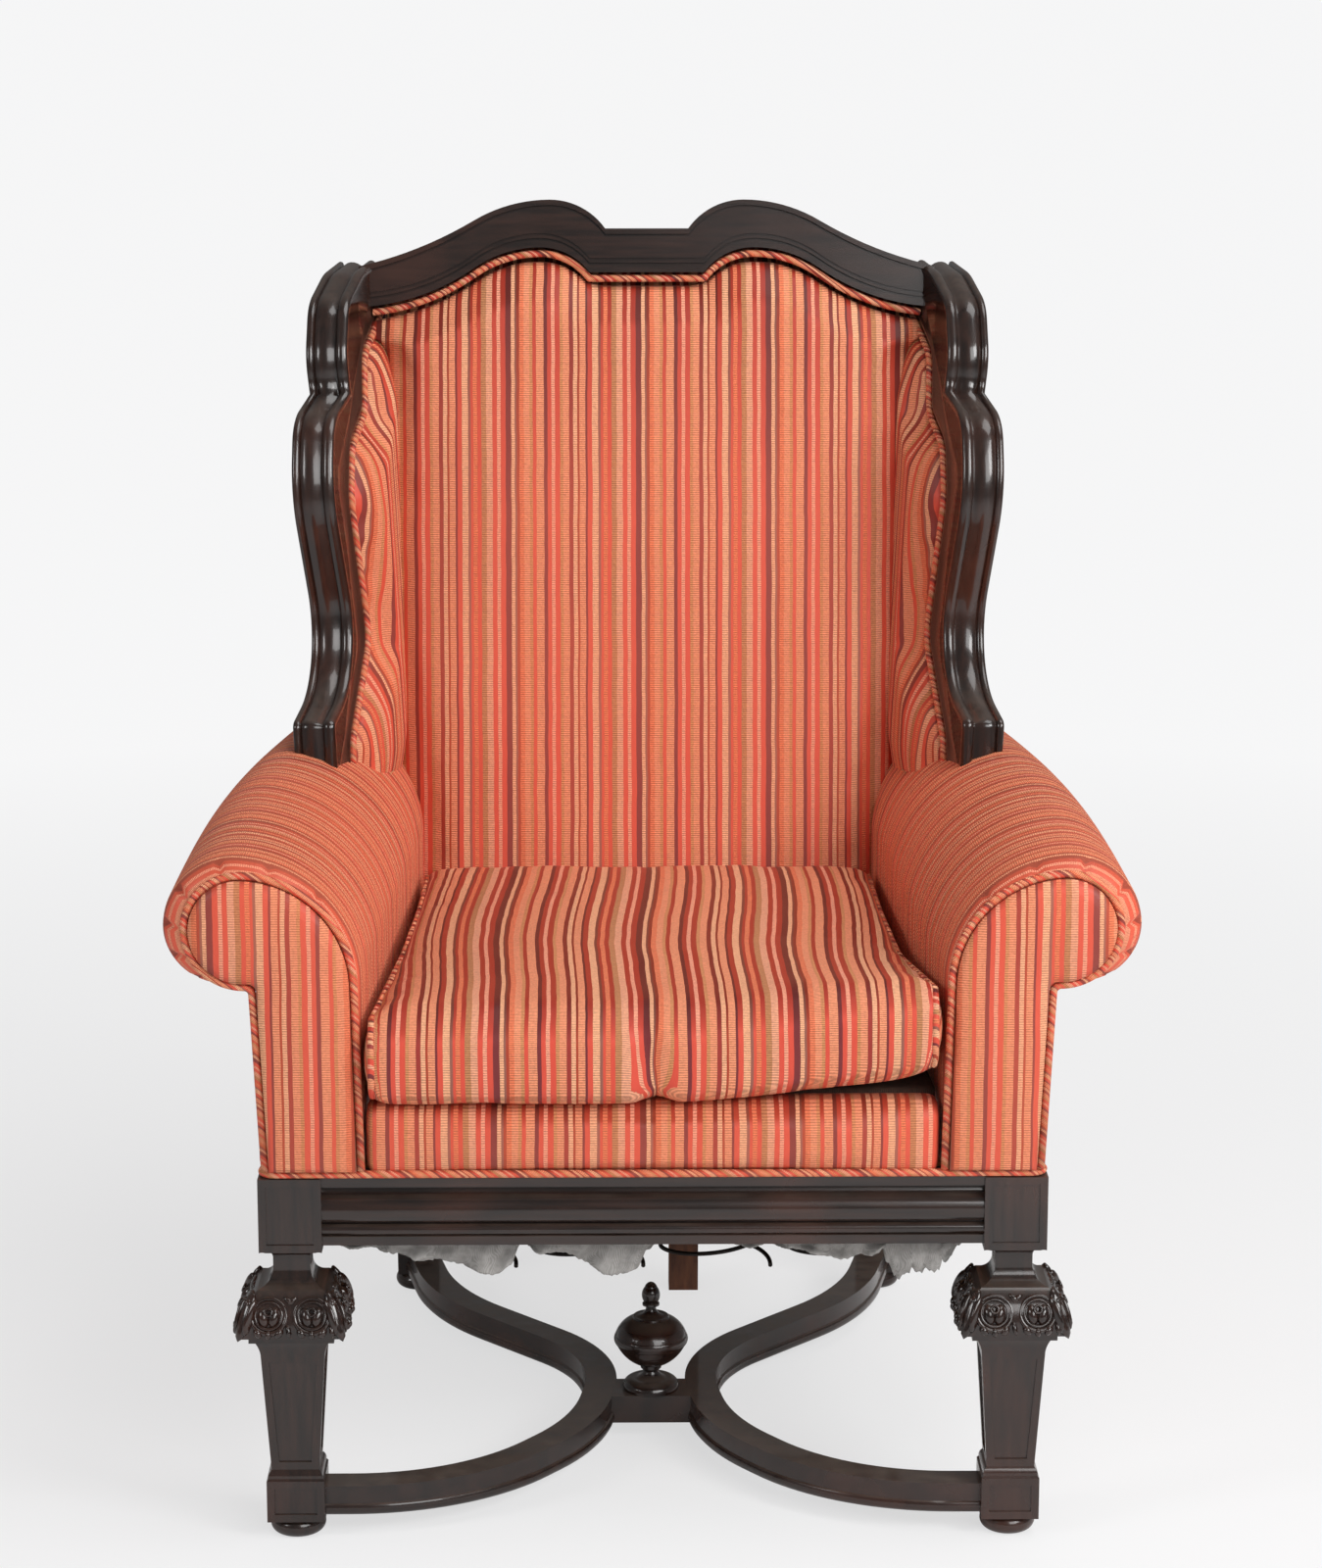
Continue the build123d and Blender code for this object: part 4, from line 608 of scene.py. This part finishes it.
def stuffed(cover, cap, outward):
    start = [vert.co.copy() for vert in cover.data.vertices]
    share = [max(0.0, vert.normal.dot(Vector(outward))) if outward else 1.0 for vert in cover.data.vertices]
    filling = cover.modifiers.new("filling", "CLOTH")
    filling.settings.use_pressure = True
    filling.settings.uniform_pressure_force = STUFFING_PRESSURE
    filling.settings.effector_weights.gravity = 0
    for number in range(1, STUFFING_STEPS + 1):
        scene.frame_set(number)
    swollen = cover.evaluated_get(bpy.context.evaluated_depsgraph_get()).data
    finish = [vert.co.copy() for vert in swollen.vertices]
    cover.modifiers.remove(filling)
    scene.frame_set(1)
    for vert, first, last, part in zip(cover.data.vertices, start, finish, share):
        move = last - first
        limit = cap * part
        vert.co = first + (move if move.length < limit else move.normalized() * limit)


def upholstered(cover, body, fill, *nodes):
    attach(cover, body)
    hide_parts(*nodes)


BACK_RAKE = radians(8.2)
BACK_OUT = (0, -cos(BACK_RAKE), sin(BACK_RAKE))
BACK_TUCK = 0.014
TUCK_TOP = 0.95
TUCK_FADE = 0.25
TUCK_FROM = 0.15
TUCK_SPAN = 0.11
back = remeshed(cad_shape("back_pad"), "back_cover", 0.006)
smoothed(back, 6)
stuffed(back, 0.012, BACK_OUT)
smoothed(back, 3)
for vert in back.data.vertices:
    behind_arms = max(0.0, min(1.0, (TUCK_TOP - vert.co.z) / TUCK_FADE))
    past_middle = max(0.0, abs(vert.co.x) - TUCK_FROM) / TUCK_SPAN
    vert.co.x += copysign(BACK_TUCK * behind_arms * past_middle, vert.co.x)
lay_stripes(back, lambda co: co.x, lambda co: co.z)
back.data.materials.append(faded_cloth)
upholstered(back, "frame", 0.7, "back_pad")


# Wing pads: stuffed into the sunk inner face of each wing, rolling over
# to the piped edge, with the stripes running down them.
def mirrored(cover, name):
    shape = bmesh.new()
    shape.from_mesh(cover.data)
    bmesh.ops.scale(shape, vec=(-1, 1, 1), verts=shape.verts)
    bmesh.ops.reverse_faces(shape, faces=shape.faces)
    made = piece(name, shape)
    for finish in cover.data.materials:
        made.data.materials.append(finish)
    return made


wing_out = Vector((1, -0.24, 0.06)).normalized()
wing_run = Vector((0, 0, 1)).cross(wing_out).normalized()
WING_TUCK = 0.05
wing_shape = cad_shape("wing_pad_left")
wing_foot = min(vert.co.z for vert in wing_shape.verts) + 0.03
tucked = [vert for vert in wing_shape.verts if vert.co.z < wing_foot]
bmesh.ops.translate(wing_shape, vec=(0, 0, -WING_TUCK), verts=tucked)
wing_pad = remeshed(wing_shape, "wing_cover_left", 0.005)
smoothed(wing_pad, 10)
stuffed(wing_pad, 0.014, wing_out)
smoothed(wing_pad, 3)
lay_stripes(wing_pad, lambda co: co.dot(wing_run), lambda co: co.z)
wing_pad.data.materials.append(faded_cloth)
for side, cover in zip(SIDES, (wing_pad, mirrored(wing_pad, "wing_cover_right"))):
    upholstered(cover, "frame", 0.7, f"wing_pad_{side}")


# Arms: stuffing over the arm rail and down the inside, under one cover whose stripes
# run over the roll like hoops and are pleated round its front edge to the piped facing.
def tangent_arc(start, heading, finish, steps):
    chord = finish - start
    half_turn = atan2(heading.x * chord.y - heading.y * chord.x, heading.dot(chord))
    points = []
    for step in range(1, steps + 1):
        part = half_turn * step / steps
        reach = chord.length * sin(part) / sin(half_turn)
        points.append(start + Matrix.Rotation(part, 2) @ heading * reach)
    return points, Matrix.Rotation(2 * half_turn, 2) @ heading


def straight(start, finish, steps):
    return [start.lerp(finish, step / steps) for step in range(1, steps + 1)]


def roll_outline(foot_in, rise, crown, side, under, neck, foot_out):
    foot_in, rise, crown, side, under, neck, foot_out = [
        Vector(spot) / 1000 for spot in (foot_in, rise, crown, side, under, neck, foot_out)
    ]
    line = [foot_in] + straight(foot_in, rise, 16)
    heading = (rise - foot_in).normalized()
    for start, finish, steps in ((rise, crown, 26), (crown, side, 20), (side, under, 16)):
        arc, heading = tangent_arc(start, heading, finish, steps)
        line += arc
    return line + straight(under, neck, 4) + straight(neck, foot_out, 16) + straight(foot_out, foot_in, 8)


ARM_TOP = 629
ARM_FOOT = 349
ROLL_UNDER = 517
ROLL_MIDDLE = 573
front_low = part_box("front_rail")[0]
FRONT = front_low.y
ARM_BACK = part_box("arm_pad_left")[1].y
COVER_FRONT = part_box("arm_facing_left")[1].y
BULLNOSE = 0.024
END_ROUND = 0.012


def arm_section(inner, outer, roll):
    return roll_outline(
        (-inner, ARM_FOOT), (-inner, ROLL_UNDER), (-(inner + outer + roll) / 2 - 16, ARM_TOP),
        (-outer - roll, ROLL_MIDDLE), (-outer - roll / 2, ROLL_UNDER),
        (-outer, ROLL_UNDER - 8), (-outer, ARM_FOOT),
    )


front_section = arm_section(257, 345, 85)
rear_section = arm_section(227, 278, 96)
tucked_section = roll_outline(
    (-264, ARM_FOOT), (-267, 519), (-359, 612), (-403, 567), (-359, 523), (-345, 515), (-337, ARM_FOOT)
)
PLEATS = (30, 38, 46, 55, 62, 68, 74)
PLEAT_DEPTH = 0.24
HOOP_STEP = 0.0068
ROLL_FROM, ROLL_TO = 18, 80
ROLL_SWELL = (-0.014, 0.005)
rows = []
for step in range(9):
    turn = pi / 2 * (1 - step / 8)
    rows.append((COVER_FRONT + BULLNOSE * (1 - sin(turn)), cos(turn), 0.0))
straight_run = ARM_BACK - END_ROUND - COVER_FRONT - BULLNOSE
for step in range(1, 31):
    rows.append((COVER_FRONT + BULLNOSE + straight_run * step / 30, 1.0, 0.0))
for step in range(1, 5):
    turn = pi / 2 * step / 4
    rows.append((ARM_BACK - END_ROUND * (1 - sin(turn)), 1.0, END_ROUND * (1 - cos(turn))))
count = len(front_section)
arm_shape = bmesh.new()
bmesh.ops.create_grid(arm_shape, x_segments=count - 1, y_segments=len(rows) - 1, size=1)
hoop = arm_shape.verts.layers.float.new("along")
centre = sum(rear_section, Vector((0, 0))) / count
for vert in arm_shape.verts:
    index = round((vert.co.x + 1) / 2 * (count - 1))
    depth, share, closing = rows[round((vert.co.y + 1) / 2 * (len(rows) - 1))]
    run = (depth - COVER_FRONT) / (ARM_BACK - COVER_FRONT)
    full = front_section[index].lerp(rear_section[index], run)
    flat = tucked_section[index].lerp(full, share)
    if index in PLEATS and share < 0.97:
        flat = flat.lerp(tucked_section[index], PLEAT_DEPTH)
    if ROLL_FROM < index < ROLL_TO:
        round_roll = sin(pi * (index - ROLL_FROM) / (ROLL_TO - ROLL_FROM))
        flat += Vector(ROLL_SWELL) * (sin(pi * max(0.0, run)) * round_roll * share)
    flat = flat.lerp(centre, closing * 4)
    vert[hoop] = index * HOOP_STEP
    vert.co = (flat.x, depth, flat.y)
bmesh.ops.remove_doubles(arm_shape, verts=arm_shape.verts, dist=0.0001)
ends = [edge for edge in arm_shape.edges if edge.is_boundary and edge.verts[0].co.y > ARM_BACK - 0.001]
bmesh.ops.contextual_create(arm_shape, geom=ends)
bmesh.ops.recalc_face_normals(arm_shape, faces=arm_shape.faces)
arm_cover = piece("arm_cover_left", arm_shape)


def arm_stripe(co):
    back = COVER_FRONT + BULLNOSE
    if co.y > back:
        return co.y
    return back - BULLNOSE * asin(min(1, (back - co.y) / BULLNOSE))


arm_cloth = striped_cloth("arm_stripe", 0.4, 0.31)
arm_cover.data.materials.append(arm_cloth)
other_arm = mirrored(arm_cover, "arm_cover_right")
for side, cover in zip(SIDES, (arm_cover, other_arm)):
    lay_stripes(cover, arm_stripe)
    upholstered(cover, "frame", 0.8, f"arm_pad_{side}")

# Arm facings: boards padded and covered, set into the arm fronts with the
# stripes upright, and the plain outside panels tacked to the frame behind them.
for side, way in zip(SIDES, (-1, 1)):
    for node, outward, rim, rise in (
        ("arm_facing", (0, -1, 0), 0.012, 0.0035),
        ("outside_arm", (way, 0, 0), 0.012, 0.002),
        ("outside_wing", (way, 0.24, 0), 0.008, 0.0015),
    ):
        panel = covered_panel(f"{node}_{side}", f"{node}_cover_{side}", outward, rim, rise)
        if node == "arm_facing":
            lay_stripes(panel, lambda co: way * co.x, lambda co: co.z)
        else:
            lay_stripes(panel, lambda co: co.y, lambda co: co.z)
        panel.data.materials.append(faded_cloth)
        upholstered(panel, "frame", 0.4, f"{node}_{side}")
outside_back = covered_panel("outside_back", "outside_back_cover", (0, 1, -0.1), 0.008, 0.0015)
lay_stripes(outside_back, lambda co: co.x, lambda co: co.z)
outside_back.data.materials.append(faded_cloth)
upholstered(outside_back, "frame", 0.3, "outside_back")

# Piping: cord sewn into bias-cut strips of the stripe, tacked round the facings,
# along the rails, under the crest and round the wing pads.
piped = ["rail_piping", "crest_piping"]
for side in SIDES:
    piped += [f"facing_piping_{side}", f"wing_piping_{side}"]
for node in piped:
    trim = piece(f"{node}_cover", cad_shape(node))
    lay_stripes(trim, lambda co: 1.3 * co.x + 1.1 * co.y + 1.6 * co.z, lambda co: co.z - co.x)
    trim.data.materials.append(faded_cloth)
    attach(trim, "frame")
    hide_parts(node)

# Front border: a stuffed roll under the front of the cushion, in the same stripe,
# pressed flatter as the sprung seat gives.
border = remeshed(cad_shape("front_border"), "front_border_cover", 0.005)
smoothed(border, 5)
stuffed(border, 0.006, (0, -1, 0))
lay_stripes(border, lambda co: co.x, lambda co: co.z)
border.data.materials.append(faded_cloth)
upholstered(border, "frame", 0.7, "front_border")
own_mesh(border)

# Seat cushion: a loose feather cushion, its top cloth rolling over the front, with piped
# side panels; it has slumped and its right front corner has lifted off the border.
cushion_low, cushion_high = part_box("seat_cushion")
cushion = remeshed(cad_shape("seat_cushion"), "seat_cushion_cover", 0.006)
smoothed(cushion, 3)
stuffed(cushion, 0.006, None)
smoothed(cushion, 1)
widest = max(abs(vert.co.x) for vert in cushion.data.vertices)
SEAT_HALF = -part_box("facing_piping_left")[1].x - 0.0006
ARM_INNER = 0.2568
ARM_TAPER = 0.030 / 0.636
FRONT_ZONE = 0.24
CORNER_LIFT = 0.032
PINCH_LIFT = 0.009
PINCH_BACK = 0.006
UNDERSIDE_GAP = 0.0004


def settled_cushion(co):
    spot = co.copy()
    between_arms = min(SEAT_HALF, ARM_INNER - ARM_TAPER * (co.y - FRONT))
    spot.x = max(-between_arms, min(between_arms, co.x * SEAT_HALF / widest))
    front_share = max(0.0, 1 - (co.y - cushion_low.y) / FRONT_ZONE)
    top_share = max(0.0, min(1.0, (co.z - cushion_low.z) / (cushion_high.z - cushion_low.z)))
    corner = max(0.0, co.x / 0.25) ** 1.2 * front_share
    spot.z += CORNER_LIFT * corner
    pinch = max(0.0, 1 - abs(co.x - 0.004 + 0.02 * top_share) / 0.02) * front_share ** 3
    spot.z += PINCH_LIFT * pinch * (1 - top_share)
    spot.y += PINCH_BACK * pinch
    ripple = noise.noise(Vector((co.x * 14, co.y * 7, 3.1))) * 0.0022
    ripple += noise.noise(Vector((co.x * 34, co.y * 18, 7.7))) * 0.0008
    spot.z += ripple * top_share
    spot.z = max(spot.z, cushion_low.z + UNDERSIDE_GAP)
    return spot


for vert in cushion.data.vertices:
    vert.co = settled_cushion(vert.co)


def cushion_stripe_place(co):
    sway = 0.006 * sin((co.y - cushion_low.y) * 9 + co.x * 5)
    return co.x + sway * min(1.0, (co.y - cushion_low.y) / 0.2)


lay_stripes(cushion, cushion_stripe_place, lambda co: co.y + co.z)
for vert, band in zip(cushion.data.vertices, cushion.data.attributes["across"].data):
    band.value += copysign(vert.normal.x ** 2 * (cushion_high.z - vert.co.z), vert.co.x)
cushion.data.materials.append(cushion_stripe)
upholstered(cushion, "cushion", 0.6, "seat_cushion")

# Cushion piping: a piped seam round each side panel of the cushion, following its taper; it is
# seen where it comes up the front corners between the rolled top cloth and the arms.
skin = BVHTree.FromObject(cushion, bpy.context.evaluated_depsgraph_get())
SEAM_IN = 0.007
SEAM_POINTS = 120
PIPE = 0.0032
PIPE_GAP = 0.0005
CORNER_RUN = 0.05
SLICE = 0.012
middle = (cushion_low + cushion_high) / 2
slice_half = {}
for vert in cushion.data.vertices:
    number = round(vert.co.y / SLICE)
    slice_half[number] = max(slice_half.get(number, 0.0), abs(vert.co.x))


def half_width(y):
    between = max(cushion_low.y + CORNER_RUN, min(cushion_high.y - CORNER_RUN, y))
    return slice_half[round(between / SLICE)]


for side, way in zip(SIDES, (-1, 1)):
    seam = []
    for step in range(SEAM_POINTS):
        turn = 2 * pi * step / SEAM_POINTS
        reach = Vector((0, 0.30 * cos(turn), 0.052 * sin(turn)))
        spot = middle + reach
        for closer in range(3):
            seam_x = way * (half_width(spot.y) - SEAM_IN)
            start = Vector((seam_x, middle.y, middle.z)) + reach * 1.6
            hit = skin.ray_cast(start, -reach.normalized())[0]
            spot = hit or spot
        if hit:
            seam.append(Vector((hit.x, hit.y, max(hit.z, cushion_low.z + PIPE + PIPE_GAP))))
    line = bpy.data.curves.new(f"cushion_piping_{side}", "CURVE")
    line.dimensions = "3D"
    line.bevel_depth = PIPE
    line.bevel_resolution = 2
    run = line.splines.new("POLY")
    run.points.add(len(seam) - 1)
    for point, spot in zip(run.points, seam):
        point.co = (*spot, 1)
    run.use_cyclic_u = True
    holder = bpy.data.objects.new(line.name, line)
    scene.collection.objects.link(holder)
    trim = bpy.data.objects.new(line.name, bpy.data.meshes.new_from_object(holder))
    bpy.data.objects.remove(holder)
    scene.collection.objects.link(trim)
    trim.data.materials.clear()
    trim.data.materials.append(cushion_stripe)
    trim.data.shade_smooth()
    lay_stripes(trim, lambda co: 0.3 * co.x + 0.75 * co.y + 0.9 * co.z, lambda co: co.z)
    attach(trim, "cushion")

# Dust cover: thin grey cotton tacked under the rails, torn open at the front so that
# rags of it hang behind the front rail; a strip is still flat at the back. The rags hang in waves.
# The strip narrows to the back and is notched round the posts.
FLAP_TOP = front_low.z - 0.0004
FLAP_PLACE = FRONT + 0.0255
FLAPS = (
    ("torn_cover_left", -0.286, 0.168, 0.0016, (
        (0.0, 5), (0.1, 9), (0.3, 15), (0.55, 22), (0.74, 30), (0.86, 34), (0.94, 26), (1.0, 8),
    )),
    ("torn_cover_middle", -0.112, 0.116, 0.0022, (
        (0.0, 7), (0.1, 13), (0.28, 16), (0.45, 26), (0.66, 35), (0.84, 31), (0.92, 16), (1.0, 5),
    )),
    ("torn_cover_fold", 0.058, 0.150, 0.0012, (
        (0.0, 5), (0.2, 9), (0.5, 12), (0.75, 22), (0.9, 18), (1.0, 9),
    )),
    ("torn_cover_right", 0.206, 0.070, 0.0060, (
        (0.0, 16), (0.06, 26), (0.16, 41), (0.4, 33), (0.62, 30), (0.84, 24), (1.0, 8),
    )),
)


def fall_at(tears, share):
    for (left, near), (right, far) in zip(tears, tears[1:]):
        if share <= right:
            part = (share - left) / (right - left)
            return (near + (far - near) * part * part * (3 - 2 * part)) / 1000
    return tears[-1][1] / 1000


dust_finish = open_weave("worn_dust_cotton", (128, 125, 122), (164, 161, 158), 0.0011)
for number, (name, start, span, fray, tears) in enumerate(FLAPS):
    rag = bmesh.new()
    bmesh.ops.create_grid(rag, x_segments=int(span / 0.0015), y_segments=16, size=1)
    for vert in rag.verts:
        share, down = (vert.co.x + 1) / 2, (1 - vert.co.y) / 2
        place = start + span * share
        fall = fall_at(tears, share)
        nicks = noise.noise(Vector((place * 260, number, 0)))
        nicks += noise.noise(Vector((place * 700, number, 5))) * 0.5
        fall = max(0.003, fall + fray * nicks)
        sway = 0.0055 * sin(place * 95 + number * 2) + 0.003 * sin(place * 230 + down * 3)
        curl = noise.noise(Vector((place * 40, down * 2.5, number + 3.3))) * 0.006
        vert.co = (place, FLAP_PLACE + (sway + curl) * down ** 0.7, FLAP_TOP - fall * down)
    bmesh.ops.recalc_face_normals(rag, faces=rag.faces)
    flap = piece(name, rag)
    cloth_thickness = flap.modifiers.new("cloth_thickness", "SOLIDIFY")
    cloth_thickness.thickness = 0.0007
    flap.data.materials.append(dust_finish)
    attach(flap, "frame")
    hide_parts("dust_cover")
strip_shape = cad_shape("dust_cover")
bmesh.ops.delete(strip_shape, geom=[vert for vert in strip_shape.verts if vert.co.y < 0], context="VERTS")
strip = piece("dust_cover_strip", strip_shape)
strip.data.set_sharp_from_angle(angle=radians(40))
strip.data.materials.append(dust_finish)
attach(strip, "frame")
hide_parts("dust_cover")

size = {"cad": [list(cad_low), list(cad_high)], "visual": [list(corner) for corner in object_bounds()]}
